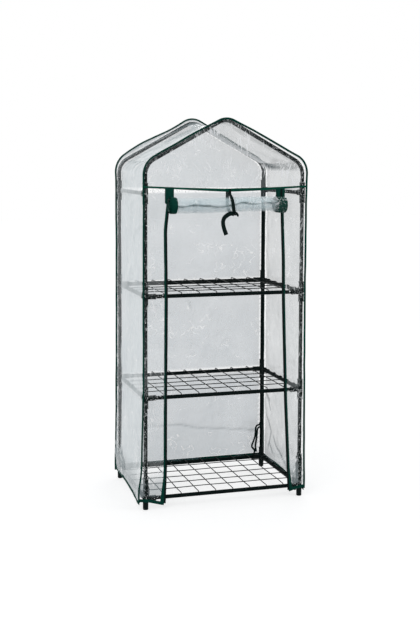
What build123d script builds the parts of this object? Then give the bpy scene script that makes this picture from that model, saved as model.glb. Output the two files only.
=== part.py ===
"""A small free-standing film greenhouse: steel tubes in plastic fittings, wire shelves and a sewn cover.

The front faces -Y, +X is to the right seen from the front, and Z is height above the floor, in millimetres.
"""

import os
from math import cos, radians, sin, tan

from build123d import *

# Round stock in the frame is drawn with few sides, because there are so many short lengths of it
round_sides = 8

# Tube frame
post_pitch_x = 665.0
post_pitch_y = 465.0
foot_level = 46.0
shelf_pitch = 410.0
tube_diameter = 16.0
tube_wall = 0.5
bend_radius_eaves = 70.0
bend_radius_ridge = 60.0
eaves_rise = 115.6
roof_slope = 29.0

# Plastic fittings
socket_diameter = 22.0
socket_reach = 42.0
socket_stop = 11.0
socket_clearance = 0.1
rim_width = 4.0
rim_height = 1.0
foot_chamfer = 3.0

# Wire shelves
wire_diameter = 2.6
wire_sides = 4
weld_sink = 0.6
cross_wire_count = 8
long_wire_count = 5
hook_drop = 9.0
hook_gap = 0.5

# Film cover
cover_gap = 12.0
film = 1.0
hem_height = 38.0
seam_rise = 24.0
tape = 1.0
edge_tape_width = 8.0
seam_tape_width = 10.0
zip_tape_width = 12.0
door_width = 496.0
door_offset = -4.0
left_flare = 8.0
right_flare = 38.0

# Door, rolled up and tied
roll_diameter = 66.0
roll_core = 26.0
roll_overlap = 4.0
roll_drop = 68.0
roll_gap = 2.5
band_width = 32.0
tab_gap = 0.25
tie_width = 14.0
tie_gap = 0.5
tie_place = 6.0
tie_tail = 88.0

# Corner ties, one round each post above its foot
corner_tie_width = 12.0
corner_tie_height = 150.0
corner_tie_gap = 0.2
corner_tie_tail = 60.0

# Places worked out from the sizes above
tube_radius = tube_diameter / 2
bore_radius = tube_radius + socket_clearance
socket_radius = socket_diameter / 2
half_pitch_x = post_pitch_x / 2
levels = [foot_level + shelf_pitch * step for step in range(4)]
top_level = levels[-1]
cover_reach = cover_gap + film
seam_height = top_level + seam_rise
door_left_top = door_offset - door_width / 2
door_right_top = door_offset + door_width / 2
door_left_foot = door_left_top - left_flare
door_right_foot = door_right_top + right_flare
roll_radius = roll_diameter / 2
roll_length = door_width + 2 * roll_overlap
front_reach = cover_reach + roll_gap + roll_diameter + tie_gap + tape
back_reach = cover_reach + tape
front_y = (front_reach - back_reach - post_pitch_y) / 2
back_y = front_y + post_pitch_y
film_front = front_y - cover_gap
film_back = back_y + cover_gap
film_side = half_pitch_x + cover_gap
film_depth = film_back - film_front
roll_y = film_front - film - roll_gap - roll_radius
roll_height = seam_height - roll_drop
slope = radians(roof_slope)


def facing_front(y):
    """A sketch plane seen from the front: its x runs right, its y runs up, and it extrudes forwards."""
    return Plane(origin=(0, y, 0), x_dir=(1, 0, 0), z_dir=(0, -1, 0))


def facing_right(x):
    """A sketch plane seen from the right: its x runs back, its y runs up, and it extrudes to +X."""
    return Plane(origin=(x, 0, 0), x_dir=(0, 1, 0), z_dir=(1, 0, 0))


def arch_corners(reach, foot):
    """The five corners of the arch line, moved outwards by reach, with its legs ending at foot."""
    side = half_pitch_x + reach
    lift = reach / cos(slope)
    eaves = top_level + eaves_rise + lift - reach * tan(slope)
    ridge = top_level + eaves_rise + lift + half_pitch_x * tan(slope)
    return [(-side, foot), (-side, eaves), (0, ridge), (side, eaves), (side, foot)]


def arch_radii(reach):
    """The bend radii that belong to an arch line moved outwards by reach."""
    eaves = bend_radius_eaves + reach
    return [eaves, bend_radius_ridge + reach, eaves]


def cover_outline(reach, foot):
    """The closed outline of the cover seen from the front."""
    with BuildSketch() as outline:
        with BuildLine():
            edge = FilletPolyline(*arch_corners(reach, foot), radius=arch_radii(reach))
            Line(edge @ 1, edge @ 0)
        make_face()
    return outline.sketch


def tube_section():
    """The section of every tube, in the open sketch."""
    RegularPolygon(tube_radius, round_sides)
    RegularPolygon(tube_radius - tube_wall, round_sides, mode=Mode.SUBTRACT)


def save(piece, name):
    """Label one finished piece and write its own file."""
    piece.label = name
    export_step(piece, f"parts/{name}.step")


os.makedirs("parts", exist_ok=True)


# Posts: three lengths of thin steel tube each, butted on the stops inside the fittings
def post(x, y):
    """The tubes of one post."""
    with BuildPart() as tubes:
        for level in levels[:-1]:
            with BuildSketch(Plane.XY.offset(level + socket_stop)):
                with Locations((x, y)):
                    tube_section()
            extrude(amount=shelf_pitch - 2 * socket_stop)
    return tubes.part


sides = {"left": -half_pitch_x, "right": half_pitch_x}
ends = {"front": front_y, "back": back_y}
for end, y in ends.items():
    for side, x in sides.items():
        save(post(x, y), f"post_{end}_{side}")


# Rails: straight tubes from fitting to fitting, four round each shelf and two under the eaves
def rail(section_plane, length):
    """One straight tube, from the stop in one fitting to the stop in the next."""
    with BuildPart() as tube:
        with BuildSketch(section_plane):
            tube_section()
        extrude(amount=length)
    return tube.part


rail_length_x = post_pitch_x - 2 * socket_stop
rail_length_y = post_pitch_y - 2 * socket_stop
level_names = ["bottom_shelf", "middle_shelf", "upper_shelf", "top"]
for name, level in zip(level_names, levels):
    for side, x in sides.items():
        start = Plane(origin=(x, front_y + socket_stop, level), z_dir=(0, 1, 0))
        save(rail(start, rail_length_y), f"{name}_rail_{side}")
    if level == top_level:
        continue
    for end, y in ends.items():
        start = Plane(origin=(-half_pitch_x + socket_stop, y, level), z_dir=(1, 0, 0))
        save(rail(start, rail_length_x), f"{name}_rail_{end}")


# Arches: one tube each, bent at both eaves and at the ridge
def arch(y):
    """One bent tube that carries the roof."""
    with BuildPart() as tube:
        with BuildLine(facing_front(y)):
            corners = arch_corners(0, top_level + socket_stop)
            centre_line = FilletPolyline(*corners, radius=arch_radii(0))
        with BuildSketch(Plane(origin=centre_line @ 0, z_dir=centre_line % 0)):
            tube_section()
        sweep()
    return tube.part


for end, y in ends.items():
    save(arch(y), f"{end}_arch")


# Fittings: moulded sockets on the posts, with a rimmed mouth for each tube and a stop behind it
def fitting(x, y, level, arms, foot=False):
    """One fitting at a post, with its arms pointing at the neighbouring posts."""
    centre = Vector(x, y, level)
    with BuildPart() as body:
        lowest = 0 if foot else level - socket_reach
        with BuildSketch(Plane.XY.offset(lowest)):
            with Locations((x, y)):
                RegularPolygon(socket_radius, round_sides)
        extrude(amount=level + socket_reach - lowest)
        if foot:
            chamfer(body.faces().sort_by(Axis.Z)[0].edges(), foot_chamfer)
        for arm in arms:
            with BuildSketch(Plane(origin=centre, z_dir=arm)):
                RegularPolygon(socket_radius, round_sides)
            extrude(amount=socket_reach)
        mouths = [(0, 0, 1), *arms] if foot else [(0, 0, 1), (0, 0, -1), *arms]
        for mouth in mouths:
            with BuildSketch(Plane(origin=centre + Vector(mouth) * (socket_reach - rim_width), z_dir=mouth)):
                RegularPolygon(socket_radius + rim_height, round_sides)
            extrude(amount=rim_width)
            with BuildSketch(Plane(origin=centre + Vector(mouth) * socket_stop, z_dir=mouth)):
                RegularPolygon(bore_radius, round_sides)
            extrude(amount=socket_reach - socket_stop, mode=Mode.SUBTRACT)
    return body.part


def fittings(level, with_front_arms, foot=False):
    """The four fittings of one level."""
    bodies = []
    for y in ends.values():
        for x in sides.values():
            arms = [(0, 1 if y == front_y else -1, 0)]
            if with_front_arms:
                arms.append((1 if x < 0 else -1, 0, 0))
            bodies.append(fitting(x, y, level, arms, foot))
    return Compound(children=bodies)


save(fittings(levels[0], True, foot=True), "foot_fittings")
save(fittings(levels[1], True), "middle_shelf_fittings")
save(fittings(levels[2], True), "upper_shelf_fittings")
save(fittings(levels[3], False), "eaves_fittings")


# Wire shelves: long wires rest on the side rails, cross wires are welded on them, all ends hook over tubes
wire_radius = wire_diameter / 2
long_wire_height = tube_radius + wire_radius
cross_wire_height = long_wire_height + wire_diameter - weld_sink
hook_reach = tube_radius + wire_radius + hook_gap


def wire(points):
    """One wire along its points, in the shelf's own frame."""
    with BuildPart() as bar:
        with BuildLine():
            run = Polyline(*points)
        with BuildSketch(Plane(origin=run @ 0, z_dir=run % 0)):
            RegularPolygon(wire_radius, wire_sides)
        sweep(transition=Transition.RIGHT)
    return bar.part


with BuildPart() as grid:
    for step in range(1, long_wire_count + 1):
        y = front_y + post_pitch_y * step / (long_wire_count + 1)
        tip = half_pitch_x + hook_reach
        low = long_wire_height - hook_drop
        high = long_wire_height
        add(wire([(-tip, y, low), (-tip, y, high), (tip, y, high), (tip, y, low)]))
    for step in range(1, cross_wire_count + 1):
        x = -half_pitch_x + post_pitch_x * step / (cross_wire_count + 1)
        near = front_y - hook_reach
        far = back_y + hook_reach
        low = cross_wire_height - hook_drop
        high = cross_wire_height
        add(wire([(x, near, low), (x, near, high), (x, far, high), (x, far, low)]))

for name, level in zip(level_names, levels[:-1]):
    with BuildPart() as shelf:
        with Locations((0, 0, level)):
            add(grid.part)
    save(shelf.part, f"{name}_grid")


# Cover sheets: clear film sewn to the frame's outline, with a gap that clears the fittings
turn_at_eaves = radians(90 - roof_slope)
side_top = top_level + eaves_rise - bend_radius_eaves * tan(turn_at_eaves / 2)
cover_half = film_side + film

for side, sign in {"left": -1, "right": 1}.items():
    with BuildPart() as side_sheet:
        with BuildSketch(facing_front(film_back)):
            with Locations((sign * (film_side + film / 2), hem_height)):
                Rectangle(film, side_top - hem_height, align=(Align.CENTER, Align.MIN))
        extrude(amount=film_depth)
    save(side_sheet.part, f"side_sheet_{side}")

    with BuildPart() as roof_sheet:
        with BuildSketch(facing_front(film_back)):
            add(cover_outline(cover_reach, hem_height))
            add(cover_outline(cover_gap, hem_height), mode=Mode.SUBTRACT)
            edge = Align.MIN if sign > 0 else Align.MAX
            with Locations((0, side_top)):
                Rectangle(cover_half, top_level, align=(edge, Align.MIN), mode=Mode.INTERSECT)
        extrude(amount=film_depth)
    save(roof_sheet.part, f"roof_sheet_{side}")

with BuildPart() as back_sheet:
    with BuildSketch(facing_front(film_back + film)):
        add(cover_outline(cover_reach, hem_height))
    extrude(amount=film)
save(back_sheet.part, "back_sheet")

with BuildPart() as gable_sheet:
    with BuildSketch(facing_front(film_front)):
        add(cover_outline(cover_reach, hem_height))
        with Locations((0, seam_height)):
            above_seam = {"align": (Align.CENTER, Align.MIN), "mode": Mode.INTERSECT}
            Rectangle(2 * cover_half, top_level, **above_seam)
    extrude(amount=film)
save(gable_sheet.part, "gable_sheet")

# Front flaps: each runs from the corner to its zip line, which leans outwards towards the floor
zip_lines = {"left": (door_left_foot, door_left_top), "right": (door_right_foot, door_right_top)}
for side, (foot, top) in zip_lines.items():
    outer = cover_half if foot > 0 else -cover_half
    with BuildPart() as flap:
        with BuildSketch(facing_front(film_front)):
            with BuildLine():
                lower_edge = [(outer, hem_height), (foot, hem_height)]
                Polyline(*lower_edge, (top, seam_height), (outer, seam_height), close=True)
            make_face()
        extrude(amount=film)
    save(flap.part, f"front_flap_{side}")

# Door: its head hangs from the seam and the rest is wound up, with open turns at the core
with BuildPart() as door_head:
    with BuildSketch(facing_front(film_front)):
        with Locations((door_offset, roll_height)):
            head_drop = seam_height - roll_height
            Rectangle(door_width - 2 * tape, head_drop, align=(Align.CENTER, Align.MIN))
    extrude(amount=film)
save(door_head.part, "door_head")

with BuildPart() as door_roll:
    with BuildSketch(facing_right(-roll_length / 2)):
        with Locations((roll_y, roll_height)):
            Circle(roll_radius)
            Circle(roll_core / 2, mode=Mode.SUBTRACT)
    extrude(amount=roll_length)
save(door_roll.part, "door_roll")

# Door edge tapes: each hangs from the seam and is wound into its end of the roll
with BuildPart() as door_edge_tapes:
    for start in (-roll_length / 2, roll_length / 2 - band_width):
        with BuildSketch(facing_right(start)):
            with Locations((roll_y, roll_height)):
                Circle(roll_radius + tape)
            tab_front = film_front - film - tape - tab_gap
            with Locations((tab_front, roll_height)):
                Rectangle(tape, seam_height - roll_height, align=(Align.MAX, Align.MIN))
            with Locations((roll_y, roll_height)):
                Circle(roll_radius, mode=Mode.SUBTRACT)
        extrude(amount=band_width)
save(door_edge_tapes.part, "door_edge_tapes")

# Door tie: webbing sewn in under the seam, passed round the roll and knotted with a hanging tail
with BuildPart() as door_tie:
    with BuildSketch(facing_right(tie_place - tie_width / 2)):
        film_middle = film_front - film / 2
        fork = film / 2 + tie_gap
        tie_top = seam_height - seam_tape_width / 2 - fork - tape
        for spare in (tape, 0):
            with BuildSketch(mode=Mode.ADD if spare else Mode.SUBTRACT):
                with Locations((roll_y, roll_height)):
                    Circle(roll_radius + tie_gap + spare)
                with Locations((film_middle, roll_height - spare)):
                    strap_height = tie_top - roll_height + 2 * spare
                    Rectangle(2 * (fork + spare), strap_height, align=(Align.CENTER, Align.MIN))
                make_hull()
        with Locations((film_middle, tie_top)):
            Rectangle(2 * cover_reach, cover_reach, align=(Align.CENTER, Align.MIN), mode=Mode.SUBTRACT)
        with Locations((roll_y, roll_height - roll_radius - tie_gap)):
            Rectangle(tape, tie_tail, align=(Align.CENTER, Align.MAX))
    extrude(amount=tie_width)
save(door_tie.part, "door_tie")

# Tape sewn over the seam, the two zip lines, both outlines and the hem
inside_edge = cover_half - edge_tape_width
with BuildPart() as seam_tape:
    with BuildSketch(facing_front(film_front - film)):
        with Locations((0, seam_height)):
            Rectangle(2 * inside_edge, seam_tape_width)
    extrude(amount=tape)
save(seam_tape.part, "seam_tape")

hem_top = hem_height + edge_tape_width
seam_foot = seam_height - seam_tape_width / 2
with BuildPart() as zip_tapes:
    for foot, top in zip_lines.values():
        outwards = zip_tape_width if foot > 0 else -zip_tape_width
        with BuildSketch(facing_front(film_front - film)):
            with BuildLine():
                lower_edge = [(foot, hem_top), (foot + outwards, hem_top)]
                Polyline(*lower_edge, (top + outwards, seam_foot), (top, seam_foot), close=True)
            make_face()
        extrude(amount=tape)
save(zip_tapes.part, "zip_tapes")

for end, y in {"front": film_front - film, "back": film_back + film + tape}.items():
    with BuildPart() as edge_tape:
        with BuildSketch(facing_front(y)):
            add(cover_outline(cover_reach, hem_top))
            add(cover_outline(cover_reach - edge_tape_width, hem_top), mode=Mode.SUBTRACT)
        extrude(amount=tape)
    save(edge_tape.part, f"{end}_edge_tape")

with BuildPart() as hem_tape:
    with BuildSketch(Plane.XY.offset(hem_height)):
        with Locations((0, (film_front + film_back) / 2)):
            Rectangle(2 * (cover_half + tape), film_depth + 2 * (film + tape))
            Rectangle(2 * cover_half, film_depth + 2 * film, mode=Mode.SUBTRACT)
        with Locations(((door_left_foot + door_right_foot) / 2, film_front)):
            Rectangle(door_right_foot - door_left_foot, 2 * cover_reach, mode=Mode.SUBTRACT)
    extrude(amount=edge_tape_width)
save(hem_tape.part, "hem_tape")

# Corner ties: webbing tied round each post, with a hanging tail
tie_bore = tube_radius + corner_tie_gap
corner_ties = []
for y in ends.values():
    for x in sides.values():
        with BuildPart() as corner_tie:
            with BuildSketch(Plane.XY.offset(corner_tie_height)):
                with Locations((x, y)):
                    RegularPolygon(tie_bore + tape, round_sides)
                    RegularPolygon(tie_bore, round_sides, mode=Mode.SUBTRACT)
            extrude(amount=corner_tie_width)
            inwards = 1 if x < 0 else -1
            with BuildSketch(facing_right(x + inwards * (tie_bore + tape / 2) - tape / 2)):
                with Locations((y, corner_tie_height + corner_tie_width)):
                    Rectangle(corner_tie_width, corner_tie_tail, align=(Align.CENTER, Align.MAX))
            extrude(amount=tape)
        corner_ties.append(corner_tie.part)
save(Compound(children=corner_ties), "corner_ties")
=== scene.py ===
"""Looks of a small film greenhouse: black-green tube frame, wire shelves and a creased clear cover."""

import math

import bpy
import numpy as np
from mathutils import Euler, Matrix, Vector


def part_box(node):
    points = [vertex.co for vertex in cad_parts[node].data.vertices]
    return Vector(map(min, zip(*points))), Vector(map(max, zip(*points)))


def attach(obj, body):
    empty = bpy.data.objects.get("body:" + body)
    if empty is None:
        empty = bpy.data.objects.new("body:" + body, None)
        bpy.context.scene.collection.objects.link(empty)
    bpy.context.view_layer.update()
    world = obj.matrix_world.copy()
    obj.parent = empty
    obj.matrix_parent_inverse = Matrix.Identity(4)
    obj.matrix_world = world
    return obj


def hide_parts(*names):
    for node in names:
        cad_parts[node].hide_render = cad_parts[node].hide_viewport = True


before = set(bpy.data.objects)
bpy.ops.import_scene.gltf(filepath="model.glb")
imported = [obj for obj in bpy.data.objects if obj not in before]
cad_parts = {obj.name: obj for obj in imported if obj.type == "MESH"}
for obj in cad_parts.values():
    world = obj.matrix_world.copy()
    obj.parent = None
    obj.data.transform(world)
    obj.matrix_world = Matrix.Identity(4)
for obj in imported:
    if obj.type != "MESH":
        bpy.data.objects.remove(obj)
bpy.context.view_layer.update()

# Camera: stands in front and to the left of the greenhouse at a grown-up's chest height and looks
# slightly down. Its place and lens come from fitting the frame's corners to the photograph.
CAMERA_LEFT = -1.388
CAMERA_IN_FRONT = 4.464
CAMERA_HEIGHT = 1.420
CAMERA_TURN = 0.3032
CAMERA_PITCH = 0.0884
CAMERA_ROLL = 0.0040
LENS = 63.07
PHOTO_HEIGHT = 630
HORIZON_ABOVE_MIDDLE = 60

post_low, post_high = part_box("post_front_left")
far_post_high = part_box("post_back_right")[1]
tube_radius = (post_high.x - post_low.x) / 2
post_x = far_post_high.x - tube_radius
front_y = post_low.y + tube_radius
back_y = far_post_high.y - tube_radius
middle_y = (front_y + back_y) / 2

camera = bpy.data.objects.new("photo_camera", bpy.data.cameras.new("photo_camera"))
bpy.context.scene.collection.objects.link(camera)
camera.location = (CAMERA_LEFT, middle_y - CAMERA_IN_FRONT, CAMERA_HEIGHT)
looking = Euler((math.pi / 2 - CAMERA_PITCH, 0, -CAMERA_TURN)).to_matrix()
camera.rotation_euler = (looking @ Matrix.Rotation(CAMERA_ROLL, 3, "Z")).to_euler()
camera.data.sensor_fit = "VERTICAL"
camera.data.sensor_height = 36
camera.data.lens = LENS
camera.data.shift_y = -HORIZON_ABOVE_MIDDLE / PHOTO_HEIGHT
bpy.context.scene.camera = camera

# Studio: a white surround, large soft lamps up to the left of the camera and beside the object, a
# weaker one to the right and a strip behind, which draws bright lines. The floor is pale.
SURROUND_LIGHT = 0.55
FLOOR_COLOUR = (0.40, 0.405, 0.41, 1)
FLOOR_GLOW = 0.68
FLOOR_FAR_GLOW = 0.785
FLOOR_NEAR = 0.8
FLOOR_FAR = 5.0
FLOOR_SIZE = 40
LAMPS = {
    "key_lamp": {"place": (-2.6, -3.2, 3.4), "size": (2.2, 2.2), "power": 62},
    "fill_lamp": {"place": (3.2, -2.2, 2.0), "size": (1.6, 2.4), "power": 24},
    "left_lamp": {"place": (-4.4, -0.4, 1.9), "size": (2.4, 2.4), "power": 38},
    "back_lamp": {"place": (1.6, 3.0, 3.0), "size": (2.4, 1.2), "power": 30},
}
LAMP_TARGET_HEIGHT = 0.8


def add_node(tree, kind, place=(0, 0), values=None, **settings):
    """One shader node in a tree, with its settings and the values of its free sockets."""
    node = tree.nodes.new(kind)
    node.location = place
    for name, value in settings.items():
        setattr(node, name, value)
    for socket, value in (values or {}).items():
        node.inputs[socket].default_value = value
    return node


def wire_up(tree, *links):
    """Links, each from a node's output to a node's input, by name or number."""
    for source, out, target, into in links:
        tree.links.new(source.outputs[out], target.inputs[into])


bpy.context.scene.view_settings.view_transform = "Standard"
bpy.context.scene.cycles.transparent_max_bounces = 56
world = bpy.data.worlds.new("white_studio")
bpy.context.scene.world = world
world.use_nodes = True
surround = world.node_tree
surround.nodes.clear()
world_output = add_node(surround, "ShaderNodeOutputWorld", (400, 0))
white_field = add_node(surround, "ShaderNodeBackground", (200, 0), {"Color": (1, 1, 1, 1)})
ray_kind = add_node(surround, "ShaderNodeLightPath", (-600, 0))
seen_or_mirrored = add_node(surround, "ShaderNodeMath", (-400, 0), operation="MAXIMUM")
seen_at_all = add_node(surround, "ShaderNodeMath", (-200, 0), operation="MAXIMUM")
strength = add_node(surround, "ShaderNodeMapRange", (0, 0), {"To Min": SURROUND_LIGHT, "To Max": 1.0})
wire_up(
    surround,
    (ray_kind, "Is Camera Ray", seen_or_mirrored, 0),
    (ray_kind, "Is Glossy Ray", seen_or_mirrored, 1),
    (seen_or_mirrored, 0, seen_at_all, 0),
    (ray_kind, "Is Transmission Ray", seen_at_all, 1),
    (seen_at_all, 0, strength, "Value"),
    (strength, "Result", white_field, "Strength"),
    (white_field, 0, world_output, "Surface"),
)

for lamp_name, lamp in LAMPS.items():
    light = bpy.data.lights.new(lamp_name, "AREA")
    light.shape = "RECTANGLE"
    light.size, light.size_y = lamp["size"]
    light.energy = lamp["power"]
    holder = bpy.data.objects.new(lamp_name, light)
    bpy.context.scene.collection.objects.link(holder)
    holder.location = lamp["place"]
    aim = holder.location.copy()
    aim.z -= LAMP_TARGET_HEIGHT
    holder.rotation_euler = aim.to_track_quat("Z", "Y").to_euler()

floor_mesh = bpy.data.meshes.new("floor")
half_floor = FLOOR_SIZE / 2
floor_corners = [(-half_floor, -half_floor, 0), (half_floor, -half_floor, 0)]
floor_corners += [(half_floor, half_floor, 0), (-half_floor, half_floor, 0)]
floor_mesh.from_pydata(floor_corners, [], [(0, 1, 2, 3)])
floor = bpy.data.objects.new("floor", floor_mesh)
bpy.context.scene.collection.objects.link(floor)
floor_paint = bpy.data.materials.new("pale_floor")
floor_paint.use_nodes = True
floor_tree = floor_paint.node_tree
floor_shader = floor_tree.nodes["Principled BSDF"]
floor_shader.inputs["Base Color"].default_value = FLOOR_COLOUR
floor_shader.inputs["Roughness"].default_value = 0.9
floor_shader.inputs["Specular IOR Level"].default_value = 0.0
floor_shader.inputs["Emission Color"].default_value = (1, 1, 1, 1)
floor_ray = add_node(floor_tree, "ShaderNodeLightPath", (-600, -300))
floor_seen = add_node(floor_tree, "ShaderNodeMath", (-400, -300), operation="MAXIMUM")
floor_glow = add_node(floor_tree, "ShaderNodeMath", (-200, -300), operation="MULTIPLY")
floor_place = add_node(floor_tree, "ShaderNodeTexCoord", (-1000, -600))
floor_distance = add_node(floor_tree, "ShaderNodeVectorMath", (-800, -600), operation="LENGTH")
glow_spread = add_node(
    floor_tree, "ShaderNodeMapRange", (-400, -600),
    {"From Min": FLOOR_NEAR, "From Max": FLOOR_FAR, "To Min": FLOOR_GLOW, "To Max": FLOOR_FAR_GLOW},
)
wire_up(
    floor_tree,
    (floor_place, "Object", floor_distance, 0),
    (floor_distance, "Value", glow_spread, "Value"),
    (glow_spread, "Result", floor_glow, 1),
    (floor_ray, "Is Camera Ray", floor_seen, 0),
    (floor_ray, "Is Glossy Ray", floor_seen, 1),
    (floor_seen, 0, floor_glow, 0),
    (floor_glow, 0, floor_shader, "Emission Strength"),
)
floor_mesh.materials.append(floor_paint)

# Tube frame: thin round steel tubes, powder coated in a green that is nearly black. Posts and rails
# are straight lengths that end inside the plastic fittings, and each arch is one tube bent three times.
TUBE_SIDES = 28
TUBE_WALL = 0.0005
ROOF_SLOPE = math.radians(29)
EAVES_BEND = 0.070
RIDGE_BEND = 0.060
BEND_STEP = 0.006
TUBE_GREEN = (0.0022, 0.0062, 0.0060, 1)
TUBE_DUST = (0.0080, 0.0120, 0.0120, 1)


def skin(rows, closed=False, capped=False):
    """Points, faces and a UV map in metres over rows of points: u runs along a row, v from row to row."""
    count, width = rows.shape[:2]
    around = np.concatenate([rows, rows[:, :1]], axis=1) if closed else rows
    along_row = np.linalg.norm(np.diff(around, axis=1), axis=2).mean(axis=0)
    from_row = np.linalg.norm(np.diff(rows, axis=0), axis=2).mean(axis=1)
    u = np.concatenate([[0], np.cumsum(along_row)])
    v = np.concatenate([[0], np.cumsum(from_row)])
    row, column = np.meshgrid(np.arange(count - 1), np.arange(around.shape[1] - 1), indexing="ij")
    row, column = row.ravel(), column.ravel()
    beside = (column + 1) % width
    corners = [row * width + column, (row + 1) * width + column]
    corners += [(row + 1) * width + beside, row * width + beside]
    faces = np.stack(corners, axis=1).tolist()
    uv = np.stack([u[column], v[row], u[column], v[row + 1]], axis=1)
    uv = np.concatenate([uv, np.stack([u[column + 1], v[row + 1], u[column + 1], v[row]], axis=1)], axis=1)
    uv = uv.reshape(-1, 2)
    if capped:
        last = (count - 1) * width
        faces.append(list(range(width)))
        faces.append(list(range(last + width - 1, last - 1, -1)))
        rim = np.stack([u[:width], np.zeros(width)], axis=1)
        uv = np.concatenate([uv, rim, rim[::-1]])
    return rows.reshape(-1, 3), faces, uv


def unit(vectors):
    """Each vector at length one."""
    return vectors / np.linalg.norm(vectors, axis=-1, keepdims=True)


def swept(path, section, up, widths=None):
    """A closed bar: its section, as pairs of across and up, carried along a path of points."""
    path = np.asarray(path, float)
    along = unit(np.gradient(path, axis=0))
    across = unit(np.cross(along, np.broadcast_to(np.asarray(up, float), path.shape)))
    upright = np.cross(across, along)
    widths = np.ones(len(path)) if widths is None else widths
    reach = section[None, :, 0] * widths[:, None]
    rows = path[:, None] + across[:, None] * reach[..., None] + upright[:, None] * section[None, :, 1:]
    return skin(rows, closed=True, capped=True)


def circle(radius, sides):
    """A round section."""
    angles = np.arange(sides) * 2 * math.pi / sides
    return radius * np.stack([np.cos(angles), np.sin(angles)], axis=1)


def make_piece(name, parts, paint, nodes, crease=35):
    """One piece from its skins, with its paint, and the nodes that it stands for."""
    mesh = bpy.data.meshes.new(name)
    points, faces, uv = [], [], []
    for part_points, part_faces, part_uv in parts:
        shift = sum(len(earlier) for earlier in points)
        points.append(part_points)
        faces += [[corner + shift for corner in face] for face in part_faces]
        uv.append(part_uv)
    mesh.from_pydata(np.concatenate(points).tolist(), [], faces)
    mesh.uv_layers.new(name="metres").data.foreach_set("uv", np.concatenate(uv).ravel())
    mesh.materials.append(paint)
    mesh.shade_smooth()
    mesh.set_sharp_from_angle(angle=math.radians(crease))
    piece = bpy.data.objects.new(name, mesh)
    bpy.context.scene.collection.objects.link(piece)
    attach(piece, "root")
    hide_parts(*nodes)
    return piece


def effect_group(name, inputs, outputs):
    """An empty shader node group with its inputs, as name and default, and its named outputs."""
    group = bpy.data.node_groups.new(name, "ShaderNodeTree")
    for socket, value in inputs.items():
        kind = "NodeSocketVector" if value is None else "NodeSocketFloat"
        made = group.interface.new_socket(socket, in_out="INPUT", socket_type=kind)
        if value is not None:
            made.default_value = value
    for socket in outputs:
        group.interface.new_socket(socket, in_out="OUTPUT", socket_type="NodeSocketFloat")
    return group, add_node(group, "NodeGroupInput", (-900, 0)), add_node(group, "NodeGroupOutput", (900, 0))


def new_paint(name):
    """A material with its Principled shader, and its own values set by name."""
    paint = bpy.data.materials.new(name)
    paint.use_nodes = True
    return paint, paint.node_tree, paint.node_tree.nodes["Principled BSDF"]


# Coating grain: fine dimples of a sprayed or dipped coat, soft cloudy dust, and short rubbed streaks
coat_grain, grain_in, grain_out = effect_group(
    "coat_grain", {"Vector": None, "Dimples": 900.0, "Clouds": 14.0}, ["Height", "Dust", "Streaks"]
)
dimples = add_node(coat_grain, "ShaderNodeTexNoise", (-500, 300))
clouds = add_node(coat_grain, "ShaderNodeTexNoise", (-500, 0), {"Detail": 6})
thick_dust = add_node(coat_grain, "ShaderNodeMapRange", (-200, 0), {"From Min": 0.50, "From Max": 0.74})
drawn_out = add_node(coat_grain, "ShaderNodeMapping", (-700, -300), {"Scale": (1.0, 1.0, 0.12)})
scratches = add_node(coat_grain, "ShaderNodeTexNoise", (-500, -300), {"Scale": 220, "Detail": 4})
sharp_streaks = add_node(coat_grain, "ShaderNodeMapRange", (-200, -300), {"From Min": 0.62, "From Max": 0.72})
wire_up(
    coat_grain,
    (grain_in, "Vector", dimples, "Vector"),
    (grain_in, "Dimples", dimples, "Scale"),
    (dimples, "Fac", grain_out, "Height"),
    (grain_in, "Vector", clouds, "Vector"),
    (grain_in, "Clouds", clouds, "Scale"),
    (clouds, "Fac", thick_dust, "Value"),
    (thick_dust, "Result", grain_out, "Dust"),
    (grain_in, "Vector", drawn_out, "Vector"),
    (drawn_out, "Vector", scratches, "Vector"),
    (scratches, "Fac", sharp_streaks, "Value"),
    (sharp_streaks, "Result", grain_out, "Streaks"),
)


def coated(name, colour, dust_colour, roughness, dimples_per_metre, dent, shine):
    """A hard coat: its colour with dust and rubbed streaks, varied gloss and fine dimples."""
    paint, tree, shader = new_paint(name)
    place = add_node(tree, "ShaderNodeTexCoord", (-1300, 0))
    grain = add_node(
        tree, "ShaderNodeGroup", (-1000, 0), {"Dimples": dimples_per_metre}, node_tree=coat_grain
    )
    greyed = add_node(tree, "ShaderNodeMix", (-600, 200), {"A": colour, "B": dust_colour}, data_type="RGBA")
    rubbed = add_node(
        tree, "ShaderNodeMapRange", (-600, -100), {"To Min": roughness, "To Max": roughness + 0.22}
    )
    relief = add_node(tree, "ShaderNodeBump", (-400, -300), {"Distance": dent, "Strength": 0.6})
    shader.inputs["Specular IOR Level"].default_value = shine
    thin_dust = add_node(tree, "ShaderNodeMath", (-800, 200), {1: 0.45}, operation="MULTIPLY")
    wire_up(
        tree,
        (place, "Object", grain, "Vector"),
        (grain, "Dust", thin_dust, 0),
        (thin_dust, 0, greyed, "Factor"),
        (greyed, "Result", shader, "Base Color"),
        (grain, "Streaks", rubbed, "Value"),
        (rubbed, "Result", shader, "Roughness"),
        (grain, "Height", relief, "Height"),
        (relief, "Normal", shader, "Normal"),
    )
    return paint


def even_steps(line, step=None, columns=None):
    """The same line with its points evenly apart, by the length of a step or by how many there are."""
    line = np.asarray(line, float)
    travelled = np.concatenate([[0], np.cumsum(np.linalg.norm(np.diff(line, axis=0), axis=1))])
    places = np.linspace(0, travelled[-1], (columns or max(1, round(travelled[-1] / step))) + 1)
    return np.stack([np.interp(places, travelled, line[:, axis]) for axis in range(line.shape[1])], axis=1)


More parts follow.
